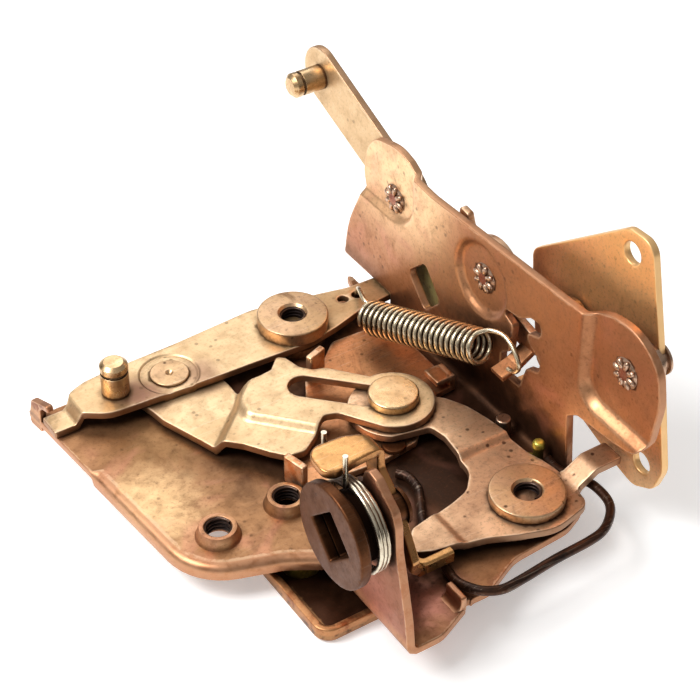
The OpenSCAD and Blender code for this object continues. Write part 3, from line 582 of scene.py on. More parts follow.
# Painted shade with some grime: the finishes darken each point by how shut in it is, as if less light reached
# it.
def shade_and_grime_in_corners():
    """Stores on every piece how shut in each point is, from 0 in the open to 1 in a tight corner."""
    pieces = [o for o in bpy.context.scene.objects if o.type == "MESH" and o.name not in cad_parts]
    pts, faces, at = [], [], 0
    for o in pieces:
        mesh = o.data
        co = np.empty(len(mesh.vertices) * 3)
        mesh.vertices.foreach_get("co", co)
        mesh.calc_loop_triangles()
        tri = np.empty(len(mesh.loop_triangles) * 3, int)
        mesh.loop_triangles.foreach_get("vertices", tri)
        pts.append(co.reshape(-1, 3))
        faces.append(tri.reshape(-1, 3) + at)
        at += len(mesh.vertices)
    tree = BVHTree.FromPolygons(np.concatenate(pts).tolist(), np.concatenate(faces).tolist())
    golden = math.pi * (3 - math.sqrt(5))
    fan = [(math.sqrt((k + 0.5) / RAYS), k * golden, math.sqrt(1 - (k + 0.5) / RAYS)) for k in range(RAYS)]
    for o in pieces:
        shut = np.empty(len(o.data.vertices), np.float32)
        for i, v in enumerate(o.data.vertices):
            n = v.normal
            side = n.orthogonal().normalized()
            across = n.cross(side)
            start = v.co + n * RAY_LIFT
            hit = 0.0
            for r, t, up in fan:
                ray = side * (r * math.cos(t + i)) + across * (r * math.sin(t + i)) + n * up
                found = tree.ray_cast(start, ray, RAY_REACH)[3]
                if found is not None:
                    hit += 1 - 0.7 * found / RAY_REACH
            shut[i] = hit / RAYS
        o.data.attributes.new("corner", "FLOAT", "POINT").data.foreach_set("value", shut)


# ---- finishes


def noise(nt, co, scale, detail, rough, twist=0.0):
    """A cloud of values around 0.5."""
    return node(nt, "ShaderNodeTexNoise", {
        "Vector": co, "Scale": scale, "Detail": detail, "Roughness": rough, "Distortion": twist
    }).outputs["Fac"]


def span(nt, value, lo, hi, to_lo=0.0, to_hi=1.0):
    """The value eased from the range lo to hi into another range."""
    return node(nt, "ShaderNodeMapRange", {
        "Value": value, "From Min": lo, "From Max": hi, "To Min": to_lo, "To Max": to_hi
    }, interpolation_type="SMOOTHSTEP").outputs["Result"]


def blend(nt, share, a, b):
    """The colour a with a share of the colour b; both are sockets or plain colours."""
    a, b = (v if isinstance(v, bpy.types.NodeSocket) else (*v[:3], 1) for v in (a, b))
    return node(nt, "ShaderNodeMix", {0: share, 6: a, 7: b}, data_type="RGBA").outputs[2]


def times(nt, a, b, way="MULTIPLY"):
    """The product of two values, or what another way of joining them gives."""
    return node(nt, "ShaderNodeMath", {0: a, 1: b}, operation=way).outputs[0]


def laid(nt, tone, mask, share, over):
    """The tone with a colour over it where the mask is, at most at the share."""
    return blend(nt, times(nt, mask, share), tone, over)


def attribute(nt, name):
    return node(nt, "ShaderNodeAttribute", attribute_name=name).outputs["Fac"]


def patched(nt, tone, whole, cloud, patches):
    """Patches of (bounds of axis, from and to in millimetres, colour, share), with uneven ends: tone, painted
    shade and painted highlights.
    """
    axes = node(nt, "ShaderNodeSeparateXYZ", {0: whole})
    for bounds, over, share in patches:
        where = share
        for axis, lo, hi in bounds:
            ragged = min(0.02, abs(hi - lo) / 2000)
            uneven = times(nt, axes.outputs[axis], times(nt, cloud, ragged), "ADD")
            where = times(nt, span(nt, uneven, lo / 1000 + ragged / 2, hi / 1000 + ragged / 2), where)
        tone = blend(nt, where, tone, over)
    return tone


def stained_and_painted_light(nt, tone, whole, oil, stains_and_painted_light):
    """Round spots of (centre, reach in millimetres, colour, share), with ragged ends: real stain spots,
    painted shade and painted highlights.
    """
    for centre, reach, over, share in stains_and_painted_light:
        spot = [v / 1000 for v in centre]
        gap = node(nt, "ShaderNodeVectorMath", {0: whole, 1: spot}, operation="DISTANCE")
        ragged = times(nt, gap.outputs["Value"], times(nt, oil, reach / 1000), "ADD")
        tone = blend(nt, span(nt, ragged, reach * 0.0016, reach * 0.0007, 0, share), tone, over)
    return tone


# corner is the share of painted shade with grime in the corners.
def plated(name, tones, shares, rough, metal, bump=0.25, shift=(0, 0, 0), broad=45.0, flush=None, cut=None,
           worn=None, patches=(), stains_and_painted_light=(), corner=0.9, scratch=0.6):
    """Plated steel: two tones in clouds, scratches, stain and painted light spots, specks, fine grain, and
    painted shade with grime in the corners.
    """
    plate_c, tint_c, grime_and_shade_c = tones
    tint, stain, speck = shares
    mat = bpy.data.materials.new(name)
    mat.use_nodes = True
    nt = mat.node_tree
    whole = node(nt, "ShaderNodeTexCoord").outputs["Object"]
    co = node(nt, "ShaderNodeMapping", {"Vector": whole, "Location": shift}).outputs[0]
    cloud = noise(nt, co, broad, 3, 0.6, 0.8)
    mottle = noise(nt, co, 330, 6, 0.68, 0.3)
    grain = noise(nt, co, 2600, 3, 0.6)
    sand = noise(nt, co, 1500, 2, 0.7)
    oil = noise(nt, co, 95, 7, 0.72, 1.2)
    wear = attribute(nt, "wear")
    tone = laid(nt, plate_c, span(nt, cloud, 0.38, 0.64), tint, tint_c)
    for turn, share in SCRATCHES:
        drag = node(nt, "ShaderNodeMapping", {
            "Vector": co, "Rotation": (0.4, 0.3, turn), "Scale": (0.03, 1, 0.5)})
        mark = span(nt, noise(nt, drag.outputs[0], 2200, 2, 0.6), 0.6, 0.7)
        tone = laid(nt, tone, mark, share * scratch, (0.95, 0.8, 0.62))
    if patches:
        tone = patched(nt, tone, whole, cloud, patches)
    tone = stained_and_painted_light(nt, tone, whole, oil, stains_and_painted_light)
    if flush:
        tone = laid(nt, tone, span(nt, noise(nt, co, 70, 2, 0.5, 1.5), 0.5, 0.72), flush[1], flush[0])
    tone = laid(nt, tone, span(nt, mottle, 0.45, 0.75), 0.22, grime_and_shade_c)
    tone = laid(nt, tone, span(nt, sand, 0.5, 0.72), 0.28, grime_and_shade_c)
    soil = times(nt, span(nt, oil, 0.53, 0.72), stain)
    tone = blend(nt, soil, tone, grime_and_shade_c)
    dots = node(nt, "ShaderNodeTexVoronoi", {"Vector": co, "Scale": 420, "Randomness": 1})
    spots = times(nt, span(nt, dots.outputs["Distance"], 0.22, 0.1), span(nt, oil, 0.46, 0.56))
    tone = laid(nt, tone, spots, speck, tuple(0.35 * v for v in grime_and_shade_c))
    if worn:
        rubbed = times(nt, span(nt, wear, 0.3, 0.5), span(nt, mottle, 0.36, 0.56))
        tone = laid(nt, tone, rubbed, worn[1], worn[0])
    if cut:
        tone = laid(nt, tone, span(nt, wear, 0.75, 0.98), cut[1], cut[0])
    # Painted shade, with some grime: darker where a point is shut in, in corners and under other pieces, up
    # to the share corner.
    nook = times(nt, attribute(nt, "corner"), times(nt, oil, 0.35), "ADD")
    shade_and_grime = span(nt, nook, 0.32, 0.8, 0, corner)
    tone = blend(nt, shade_and_grime, tone, tuple(0.5 * v for v in grime_and_shade_c))
    matt = times(nt, times(nt, soil, shade_and_grime, "ADD"), 0.25)
    relief = times(nt, times(nt, mottle, 0.7), times(nt, grain, 0.3), "ADD")
    dent = node(nt, "ShaderNodeBump", {"Height": relief, "Strength": bump, "Distance": 0.00006})
    shader = nt.nodes["Principled BSDF"]
    shader.inputs["Metallic"].default_value = metal
    for key, socket in (("Base Color", tone), ("Normal", dent.outputs[0]),
                        ("Roughness", times(nt, span(nt, mottle, 0.3, 0.75, *rough), matt, "ADD"))):
        nt.links.new(socket, shader.inputs[key])
    return mat


def recipes(c):
    """For each finish: its two tones and its grime, the shares of tint, stain and speck, its roughness from
    and to, its metal, and what else it has."""
    grime, pale = tuple(c.grime), (0.95, 0.72, 0.5)
    earth = (0.3, 0.17, 0.07)
    return {
        "copper_plate": ((c.copper, c.copper_light, grime), (0.7, 0.25, 0.45), (0.34, 0.54), 0.85, dict(
            flush=((0.62, 0.25, 0.17), 0.3), worn=((0.86, 0.58, 0.37), 0.45), cut=((0.46, 0.2, 0.095), 0.65),
            broad=22,
            # Painted shade: the frame darker towards the front.
            patches=(((("Y", 25, -14),), (0.44, 0.19, 0.085), 0.75),
                     # Painted shade: the frame darker towards and on the end plate.
                     ((("X", -5, 11),), (0.46, 0.19, 0.085), 0.75),
                     # Painted shade on the key flange's outer face.
                     ((("X", -35.3, -36.2), ("Z", 1.2, 3.5)), (0.3, 0.11, 0.055), 0.9),
                     ((("Z", -0.6, -2.4),), (0.4, 0.17, 0.075), 0.7),
                     # Painted shade at the foot of the end plate.
                     ((("Z", 12, 3), ("X", 10, 11.3)), (0.15, 0.055, 0.026), 0.8),
                     ((("Z", 1.0, 0.3), ("Z", -1, -0.4)), (0.27, 0.125, 0.052), 0.72),
                     # Painted highlight: the end plate lighter on its upper left.
                     ((("Z", 12, 36), ("Y", 38, 54)), (1, 0.68, 0.38), 0.9)),
            # Painted shadow on the base under the crank.
            stains_and_painted_light=(((-9, 15, 0), 27, (0.02, 0.008, 0.004), 0.96),
                    # Painted shadow on the base under the link.
                    ((-26, 46, 0), 26, (0.045, 0.018, 0.009), 0.9),
                    # Painted shade on the base in front of the strap.
                    ((-47, 52, 0), 12, (0.26, 0.14, 0.055), 0.6),
                    # Painted highlight on the base's left part.
                    ((-57, 38, 0), 13, (0.84, 0.56, 0.29), 0.75),
                    # Painted shade on the base round the crank's right edge; then a paler spot on the end
                    # plate.
                    ((4, 30, 0), 25, (0.03, 0.012, 0.006), 0.93), ((12, -4, 14), 12, (0.86, 0.5, 0.26), 0.6),
                    ((-30, -6, 3), 12, (0.62, 0.24, 0.2), 0.6), ((0, -6, 0), 9, (0.3, 0.12, 0.06), 0.6),
                    # Painted shade round the end plate's cut-out.
                    ((12, 20, 20), 12, (0.24, 0.1, 0.05), 0.6)))),
        "pale_plate": ((c.champagne, c.champagne_deep, earth), (0.75, 0.25, 0.5), (0.36, 0.52), 0.85, dict(
            shift=(0.03, 0, 0), worn=(pale, 0.5), cut=((0.3, 0.14, 0.07), 0.85),
            stains_and_painted_light=(((-45.4, 63, 4), 7, (0.2, 0.075, 0.06), 0.8), ((-33, 62, 4), 6, (0.26, 0.11, 0.08), 0.6),
                    ((-3, 66, 4), 8, (0.4, 0.22, 0.1), 0.5)))),
        "arm_plate": ((c.champagne, c.champagne_deep, earth), (0.75, 0.2, 0.4), (0.36, 0.52), 0.85, dict(
            shift=(0.06, 0, 0), worn=(pale, 0.5), cut=((0.4, 0.2, 0.1), 0.7), corner=0.3,
            patches=(((("Z", 22, 16), ("Y", 60, 56)), (0.95, 0.82, 0.28), 0.8),))),
        "tan_plate": ((c.tan, c.tan_light, grime), (0.8, 0.45, 0.8), (0.36, 0.55), 0.85, dict(
            shift=(0, 0.05, 0), worn=(pale, 0.6), cut=((0.3, 0.14, 0.07), 0.75))),
        "gold_finish": ((c.gold, (0.36, 0.15, 0.045), (0.14, 0.06, 0.015)), (0.35, 0.15, 0.3), (0.22, 0.36),
                        0.9, dict(shift=(0.02, 0.02, 0), worn=((0.4, 0.17, 0.06), 0.7),
                                  cut=((0.45, 0.2, 0.07), 0.6))),
        "turned_plate": ((c.champagne_deep, c.champagne, grime), (0.7, 0.4, 0.5), (0.24, 0.38), 0.95,
                         dict(broad=140)),
        "bush_plate": ((c.bush, c.champagne_deep, grime), (0.6, 0.6, 0.9), (0.3, 0.46), 0.9,
                       dict(broad=110, shift=(0.01, 0, 0.02))),
        "cam_dark": ((c.cam, (0.13, 0.05, 0.02), (0.03, 0.015, 0.01)), (0.7, 0.4, 0.4), (0.38, 0.56), 1.0,
                     dict(bump=0.4, broad=160, scratch=0.1)),
        "spring_steel": ((c.spring, (0.42, 0.33, 0.22), grime), (0.6, 0.3, 0.2), (0.16, 0.28), 1.0,
                         dict(bump=0.08, broad=180)),
        "brass_steel": (((0.8, 0.68, 0.48), (0.5, 0.4, 0.27), grime), (0.6, 0.3, 0.2), (0.2, 0.34), 1.0,
                        dict(bump=0.08, broad=180, corner=1.0)),
        "wire_finish": (((0.022, 0.012, 0.009), (0.08, 0.032, 0.016), (0.11, 0.045, 0.02)), (0.8, 0.4, 0.2),
                        (0.3, 0.42), 0.75, dict(broad=150)),
        "deep_copper": ((c.deep_copper, c.copper, grime), (0.7, 0.5, 0.6), (0.3, 0.46), 0.92,
                        dict(shift=(0, 0, 0.04), worn=(pale, 0.5), corner=0.35)),
        "yellow_plate": (((0.7, 0.58, 0.1), (0.42, 0.38, 0.07), (0.16, 0.1, 0.02)), (0.6, 0.4, 0.3),
                         (0.28, 0.42), 0.85, {}),
        "outer_plate": ((c.outer, c.outer_light, grime), (0.6, 0.2, 0.3), (0.32, 0.46), 0.7, dict(
            shift=(0, 0.02, 0.03), worn=(c.outer_light, 0.8), cut=((0.9, 0.58, 0.27), 0.85), broad=60,
            corner=0.4,
            patches=(((("Z", 24, 40), ("Y", 22, 6)), (0.9, 0.5, 0.2), 0.7),
                     ((("Y", 20, 26),), (0.42, 0.15, 0.06), 0.75),
                     ((("Z", 14, 2), ("Y", 0, -8)), (0.92, 0.6, 0.3), 0.7)))),
        "tray_plate": (((0.26, 0.09, 0.035), (0.4, 0.16, 0.06), grime), (0.7, 0.6, 0.6), (0.34, 0.5), 0.9,
                       dict(shift=(0.05, 0.02, 0), worn=((0.62, 0.32, 0.14), 0.6), corner=1.0, scratch=0.2,
                            # Painted shade on the tray's inner floor, under the base.
                            patches=(((("Z", -6.2, -6.6), ("Z", -7.8, -7.2)), (0.035, 0.013, 0.006),
                                      0.95),))),
        "plain_steel": (((0.6, 0.4, 0.28), (0.5, 0.33, 0.23), grime), (0.5, 0.3, 0.4), (0.24, 0.4), 0.98,
                        dict(broad=60, corner=0.6)),
        "stake_red": (((0.3, 0.09, 0.05), (0.45, 0.2, 0.12), grime), (0.6, 0.5, 0.5), (0.35, 0.5), 0.8,
                      dict(broad=300)),
        "thread_dark": (((0.07, 0.045, 0.035), (0.16, 0.09, 0.06), (0.02, 0.01, 0.01)), (0.6, 0.4, 0.3),
                        (0.3, 0.45), 0.85, dict(broad=300)),
    }


def finish(name):
    """The named finish, made once from the colours in the panel."""
    *basis, more = recipes(bpy.context.scene.lock_finishes)[name]
    return bpy.data.materials.get(name) or plated(name, *basis, **more)


# ---- the frame: base, key flange and end plate are one folded sheet

LEFT_RUN = [(-63.83, 74.4, 0), (-59.1, 18.7, 17), (-43.4, 13.4, 9), (-37.5, 9.75, 0)]
FRONT_RUN = [(-35.3, -16.8, 0), (-30.2, -16.8, 6), (-23.1, -13.63, 0.4), (-23.1, -12.4, 0.4),
             (-21.5, -12.4, 0.4), (-21.5, -12.9, 0.4), (-20.8, -12.6, 2), (-17.2, -12.7, 4), (-9, -8.7, 9),
             (3.6, -7.9, 7), (9.4, -5.2, 5), (11.3, 0.6, 0)]
FLANGE = [(9.45, 0.8, 0.1), (8, 8, 10), (3.2, 19.2, 5), (2.6, 23.4, 5), (0.6, 26.6, 4), (-2.4, 28.4, 1),
          (-3.1, 31.2, 1), (-4.4, 32.2, 1), (-6.6, 31.8, 1), (-8.8, 30, 2), (-11.4, 28.2, 2),
          (-12.5, 25.4, 3), (-12.8, 20, 12), (-14.2, 14.7, 12), (-16.2, 6, 8), (-16.8, 0.8, 0.1)]
END_PLATE = [(3.8, 1.5, 0.6), (4.8, 13.6, 1), (2.2, 15.6, 2), (-8, 16.6, 8), (-14.6, 18, 4),
             (-16.6, 30.2, 12), (-15, 37.6, 7), (-8.6, 41.4, 12), (-2, 40.6, 12), (2.8, 38.3, 3),
             (49, 35.9, 6), (56.4, 36.4, 3),
             (58.8, 37.8, 3), (63, 38.8, 9), (70.5, 37, 5), (73.8, 33, 9), (74.6, 27, 6), (73.4, 22.9, 4),
             (78.2, 13, 30), (79.5, 4.2, 0.6), (62.4, 4.2, 0.4), (62.4, 1.5, 0.2)]
WINDOW = [(56, 14.3, 1.2), (50.5, 19.4, 1.2), (45.2, 13.1, 1.2), (50.2, 8, 1.2)]
CUT_OUT = [(25, 14.6, 1), (25.2, 10.2, 1), (19.2, 10.4, 1), (17.5, 16, 1.5), (13.6, 17.6, 1.5),
           (13.9, 20.4, 1), (17.8, 22.4, 1), (17.8, 24.2, 1), (14, 25.6, 1.3), (14.2, 28.4, 1.2),
           (17.2, 28, 1.2),
           (20.4, 25.8, 1), (24.6, 25.3, 0.6), (24.8, 24, 0.6), (22, 22.8, 1), (22.6, 16.5, 1)]
# Where the folds of the end plate and the key flange start, and where height 0 lies in the unrolled sheet
FOLD_END, RISE_END = 10.5, 11.356
FOLD_FLANGE, RISE_FLANGE = -35.1, -35.557
RIM_PROFILE = np.array([(2.2, 0), (1.5, 0), (0.75, 0.2), (0.2, 0.75), (0, 1.5), (0, 2.9), (0.3, 3.2),
                        (1.2, 3.2), (1.5, 2.95), (1.5, 2.2), (1.75, 1.75), (2.2, 1.6)])


def on_end(q):
    """Corners given in y and z on the end plate, as they lie in the unrolled sheet."""
    return [(z + RISE_END, y, *r) for y, z, *r in q]


def rings_round(at, radii, n=40):
    return [ring(at, r, n) for r in radii]


def edges_round(loop, reach, step=0.8):
    """Rows of points either side of an outline, to carry a pressed ledge."""
    loop = resampled(turned(loop, 1), step)
    side = inward(loop)
    return [loop + side * d for d in reach]


def frame_height(bosses=True):
    """How far the face of the unrolled frame sheet stands off its plane, and the rows of points it needs."""
    upper = soft([(50, 55.8, 0), (23, 55.8, 7), (22.9, 90, 0), (50, 90, 0)]) + [RISE_END, 0]
    lower = soft([(60, -30, 0), (60, 2.4, 0), (20.2, 2.4, 5), (19.6, -30, 0)]) + [RISE_END, 0]
    dish = np.array([SHAFT_2[1] + RISE_END, SHAFT_2[0]])

    def height(q):
        h = np.zeros(len(q))
        up = q[:, 0] > 14
        if up.any():
            p = q[up]
            r = np.linalg.norm(p - dish, axis=1)
            h[up] = (-1.5 * ease((depth_in(p, upper) + 0.9) / 1.8)
                     - 2.0 * ease((depth_in(p, lower) + 1.3) / 2.6))
            h[up] -= 1.2 * ease((8.3 - r) / 1.7)
        if bosses:
            for b in BOSSES:
                r = np.linalg.norm(q - b, axis=1)
                h += 2.2 * ease((4.35 - r) / 0.95)
        return h

    marks = edges_round(upper, (-1, -0.6, -0.3, 0, 0.3, 0.6, 1))
    marks += rings_round(dish, (6.4, 6.9, 7.3, 7.7, 8.1, 8.6), 56)
    marks += edges_round(lower, (-1.4, -1, -0.6, -0.2, 0.2, 0.6, 1, 1.4))
    for b in BOSSES:
        marks += rings_round(b, (2.95, 3.2, 3.45, 3.65, 3.85, 4.05, 4.3, 4.8))
    return height, marks


def folded_frame(step):
    outer = LEFT_RUN + [(-35.4, 9.75, 0.1), (-35.4, 9.45, 0.1)]
    outer += [(RISE_FLANGE - z, y, r) for y, z, r in FLANGE] + FRONT_RUN + on_end(END_PLATE)
    outer += [(10.7, 62.4, 0.1), (10.7, 62.7, 0.1), (11.8, 62.7, 0.3), (11.8, 76, 0.5), (11, 77, 0.5),
              (9.4, 72.2, 1), (-60.9, 72.2, 0.5), (-61, 74.3, 0.3)]
    outline = soft(outer, 0.1)
    holes = [ring(b, TAP_R, 40) for b in BOSSES] + [soft(on_end(WINDOW)), soft(on_end(CUT_OUT))]
    left = soft_run(LEFT_RUN)

    def rimmed(loop):
        return 1.0 * (away(loop, left, False) < 0.06)

    # Down the flange, along the base and up the end plate
    high, tight = 45, 0.8
    path, _ = followed([(FOLD_FLANGE - tight, high, 0), (FOLD_FLANGE - tight, 0, tight), (END_X, 0, 1.5),
                        (END_X, 60, 0)])
    start = high - tight + tight * math.pi / 2 - FOLD_FLANGE

    def fold(p):
        u, v = p[:, 0], p[:, 1]
        bent = ((u < FOLD_FLANGE) & (v < 9.6)) | ((u > FOLD_END) & ((v < 62.55) | (u > 13)))
        xz = path(u + start, p[:, 2])
        return np.column_stack([np.where(bent, xz[:, 0], u), v, np.where(bent, xz[:, 1], p[:, 2])])

    height, marks = frame_height()
    low, _ = frame_height(False)
    marks += [line((u, -16.5), (u, 9.4), 40) for u in np.linspace(-36.36, FOLD_FLANGE, 6)]
    marks += [line((u, 1.8), (u, 62.2), 90) for u in np.linspace(FOLD_END, 12.86, 8)]
    return plate(outline, holes, SHEET, 0.22, step, height, low, fold, (rimmed, RIM_PROFILE), marks)


def shifted(shell, at, turn=0.0):
    """A shell turned about Z by degrees, then moved."""
    c, s = math.cos(math.radians(turn)), math.sin(math.radians(turn))
    p, faces, wear = shell
    turned_p = np.column_stack([p[:, 0] * c - p[:, 1] * s, p[:, 0] * s + p[:, 1] * c, p[:, 2]])
    return turned_p + np.array(at, float), faces, wear


EAR = [(74.2, -2.9, 0.6), (74.3, -0.6, 1), (73, 3.7, 1), (66.7, 6, 0.6), (66.6, 4.5, 0.4), (69, 3.9, 1),
       (70, 2.7, 0.5), (70, -2.7, 0.5)]


def ear():
    x, y, _ = LEFT_RUN[0]
    shape = soft([(p - y, z, r) for p, z, r in EAR])
    return shifted(plate(shape, t=1.4, step=0.8, bend=on_x(1.45)), (x, y, 0), 4.854)


def front_lug():
    shape = soft([(-28.4, -0.6, 0.1), (-28.4, -0.01, 0.1), (-24.4, -0.01, 3), (-24.4, 2.8, 0.4),
                  (-23.1, 2.8, 0.4), (-23.1, -0.6, 0.3)])
    return plate(shape, t=4.8, edge=0.35, step=0.7, bend=on_y(-13.9))


# ---- flat levers and straps


def strap_sheet(step):
    outline = soft([(-57.6, 69.4, 1.2), (-56.6, 70.6, 3), (-53.1, 71.9, 8), (-48.9, 72.3, 5),
                    (-32.2, 72.6, 0.3), (-14.5, 73.6, 12), (0.3, 70.6, 12), (6.2, 69.2, 8), (14.4, 69, 0.4),
                    (14.4, 62.7, 0.4), (5.2, 61.8, 8), (-2.7, 59.5, 12), (-9.5, 58.2, 16),
                    (-22.4, 58.9, 0.4), (-32.2, 59.3, 0.4), (-47, 60.3, 12), (-53, 60.8, 7),
                    (-57.5, 64.0, 1.5), (-63.2, 64, 0.4), (-63.2, 69.4, 0.4)])

    def height(q):
        r = np.linalg.norm(q - PIVOT_LINK, axis=1)
        groove = np.exp(-(((r - 5.75) / 0.22) ** 2))
        return -2.5 * ease((-57.0 - q[:, 0]) / 1.8) - 0.22 * ease((6.0 - r) / 0.4) - 0.16 * groove

    marks = rings_round(PIVOT_LINK, (5.1, 5.4, 5.6, 5.75, 5.9, 6.05, 6.3), 72)
    marks += [line((x, 63), (x, 71), 14) for x in (-56.8, -57.1, -57.5, -57.9, -58.3, -58.6, -59)]
    holes = [ring((3.2, 66.4), 1.1, 24), ring((6.4, 66.1), 1.1, 24)]
    return plate(outline, holes, STRAP_T, 0.22, step, height, bend=at_z(STRAP_TOP), extra=marks)


def capsule(a, b, r, n=16):
    """A slot's outline from a to b."""
    d = math.degrees(math.atan2(*(b - a)[::-1]))
    return np.concatenate([arc(b, r, d - 90, d + 90, n), arc(a, r, d + 90, d + 270, n)])


def link_sheet(step):
    row = [(-40.3, 43.5, 3), (-36.2, 39.3, 3), (-33.3, 34.9, 3), (-30.9, 32, 1.5), (-27.5, 31.5, 2),
           (-23, 34.5, 1.2), (-20.3, 36.6, 1.5), (-17.7, 35.6, 2), *arc(SLOT_PIN, 8, 223, 450, 34),
           (-12.6, 48.3, 2), (-14.8, 49, 2), (-16.7, 51.2, 2), (-17.5, 54.9, 0.6), (-18.9, 56.2, 0.8),
           (-21.8, 53.4, 1), (-24.5, 53.1, 2), (-28.9, 53.2, 1), (-28.7, 57, 2),
           *arc(PIVOT_LINK, 8.6, 0, 180, 26), (-45.1, 59.2, 4), (-44.6, 55.7, 4), (-41.3, 46.6, 4)]
    a, b = np.array([-40.3, 43.5]), np.array([-29.9, 52.7])
    d = unit(b - a)
    right = np.array([d[1], -d[0]])
    top = soft([(-20, 31, 0), (-23.1, 34.4, 3), (-30.6, 42.6, 3), (-32.7, 44.8, 2.5), (-31.8, 49.8, 4),
                (-28.6, 54.4, 3), (-24, 60, 0), (10, 60, 0), (10, 20, 0), (-10, 20, 0)])

    def height(q):
        return (-3.7 + 2.1 * ease(((q - a) @ right + 0.3) / 2.4)
                + 1.6 * ease((depth_in(q, top) + 0.7) / 1.9))

    marks = [np.array([a + d * s + right * k for s in np.linspace(-6, 18, 30)])
             for k in (-0.4, 0, 0.45, 0.9, 1.35, 1.8, 2.2)]
    marks += edges_round(top, (-0.8, -0.4, 0, 0.4, 0.8, 1.2), 0.7)
    along = unit(SLOT_PIN - PIVOT_LINK)
    slot = capsule(PIVOT_LINK + along * 26.8, SLOT_PIN + along * 1.2, 3.0)
    return plate(soft(row, 0), [slot], LEVER_T, 0.25, step, height, bend=at_z(LIFT_Z + LEVER_T), extra=marks)


def crank_sheet(step):
    face = CRANK_Z + LEVER_T
    path, far = followed([(0, face, 0), (8.7, face, 1.4), (13.5, 6.0, 1.4), (19.2, 6.0, 0)])
    row = [(-25, -0.9, 1.4), (-22.2, -2.3, 3), (-16.5, -3.3, 8), (-12, -4.4, 8), (-6.8, -6.8, 8),
           (0, -9.2, 8.3), (8.6, -7.2, 8.3), (9.1, -3.2, 0.8), (far, -3.2, 0.5), (far, 1.9, 0.5),
           (9.3, 1.9, 0.8), (9.2, 3.9, 3), (8.6, 6.8, 6), (7.6, 10, 8), (7.2, 14.7, 6), (6.2, 20.9, 12),
           (5, 25.8, 10), (2.9, 29.7, 1.5),
           *arc(SLOT_PIN, 8.8, -15, 235, 40), (-4.3, 24.4, 1.2), (-3.6, 20.9, 3), (-4.3, 14.7, 6),
           (-4.6, 11.4, 5), (-8, 7.6, 5), (-12, 6.4, 12), (-17.6, 5.3, 8), (-22.3, 4.4, 2.4), (-25.2, 1, 2.4)]

    def height(q):
        return 0.6 * ease((-15.6 - q[:, 0]) / 1.6) + 1.1 * ease((q[:, 1] - 14.4) / 1.4)

    def bend(p):
        arm = (p[:, 0] > 7.4) & (p[:, 1] > -3.35) & (p[:, 1] < 2.05)
        xz = path(p[:, 0], p[:, 2])
        return np.column_stack([np.where(arm, xz[:, 0], p[:, 0]), p[:, 1],
                                np.where(arm, xz[:, 1], face + p[:, 2])])

    marks = [line((-4.6, y), (7.6, y), 20) for y in (14.2, 14.6, 15.0, 15.4, 15.9)]
    marks += [line((x, -3.6), (x, 5.8), 14) for x in (-15.5, -15.9, -16.3, -16.8, -17.3)]
    return plate(soft(row, 0), (), LEVER_T, 0.22, step, height, bend=bend, extra=marks)


def key_sheet(step):
    path, far = followed([(-43.6, 31.7, 0), (-31.3, 31.7, 2.2), (-31.3, 11.5, 2.5), (-25.7, 3.6, 1.5),
                          (-25.7, 2.2, 0)])
    outline = soft([(0, -1.7, 2.6), (5.6, -0.8, 6), (12.5, -0.3, 4), (15.9, -0.3, 1.5), (18.7, -3.6, 3),
                    (22.7, -7, 4), (29.5, -11.2, 1), (31.7, -10.4, 2), (36.2, -8.2, 4), (39.9, -5.3, 3),
                    (far, -5.3, 0.5), (far, 2.2, 0.8), (38.7, 2.6, 3), (31.6, 0.4, 4), (27.1, 2.6, 4),
                    (19.1, 2.8, 4), (16.1, 4, 2), (11.5, 4, 3), (7.6, 5.7, 4), (0.2, 6.3, 3)])

    def bend(p):
        xz = path(p[:, 0], p[:, 2])
        return np.column_stack([xz[:, 0], p[:, 1], xz[:, 1]])

    return plate(outline, (), LEVER_T, 0.3, step, bend=bend)


def key_hook():
    path = soft_run([(-26.5, 0.4, 0), (-26.5, -4.45, 1.6), (-19.9, -4.45, 0)])
    path = np.column_stack([path, np.full(len(path), 3.5)])
    return box_run(path, 1.7, 2.7, (0, 0, 1), 0.45)


def lock_sheet(step):
    outline = soft([(-31.6, 25.4, 0.5), (-16, 23.8, 4), (-7, 24.9, 2), (-3.6, 28.4, 6), (3.4, 34, 4),
                    (8.4, 34.4, 1), (8.6, 58, 2), (-4.6, 58.6, 3), (-10.4, 53.4, 1), (-15.2, 51.6, 1),
                    (-20.4, 43, 6), (-27, 35, 4), (-32.4, 31, 0.5)])
    return plate(outline, (), 1.4, 0.2, step, bend=at_z(1.6))


def standing(q, z0, z1, edge=0.25):
    """A plate that fills the heights from z0 to z1."""
    return plate(soft(q), t=z1 - z0, edge=edge, step=0.8, bend=at_z(z1))


# ---- sweeps and coils, as rows of points in millimetres


def coil_round_key():
    k, turns, x0, x1 = 28, 3.13, -40.8, -38.6
    a = np.radians(12 + 360 * np.arange(int(turns * k) + 1) / k)
    x = np.linspace(x0, x1, len(a))
    row = np.column_stack([x, CAM_AT[0] + 8.25 * np.sin(a), CAM_AT[1] + 8.25 * np.cos(a)])
    first = curve_through([*((x0, CAM_AT[0] + 1.7, z) for z in (35.8, 33, 30.6)), row[0]], 4)[:-1]
    last = curve_through([row[-1], *((x1, 7.4, z) for z in (26.9, 29.4, 32.4))], 4)[1:]
    return np.concatenate([first, row, last])


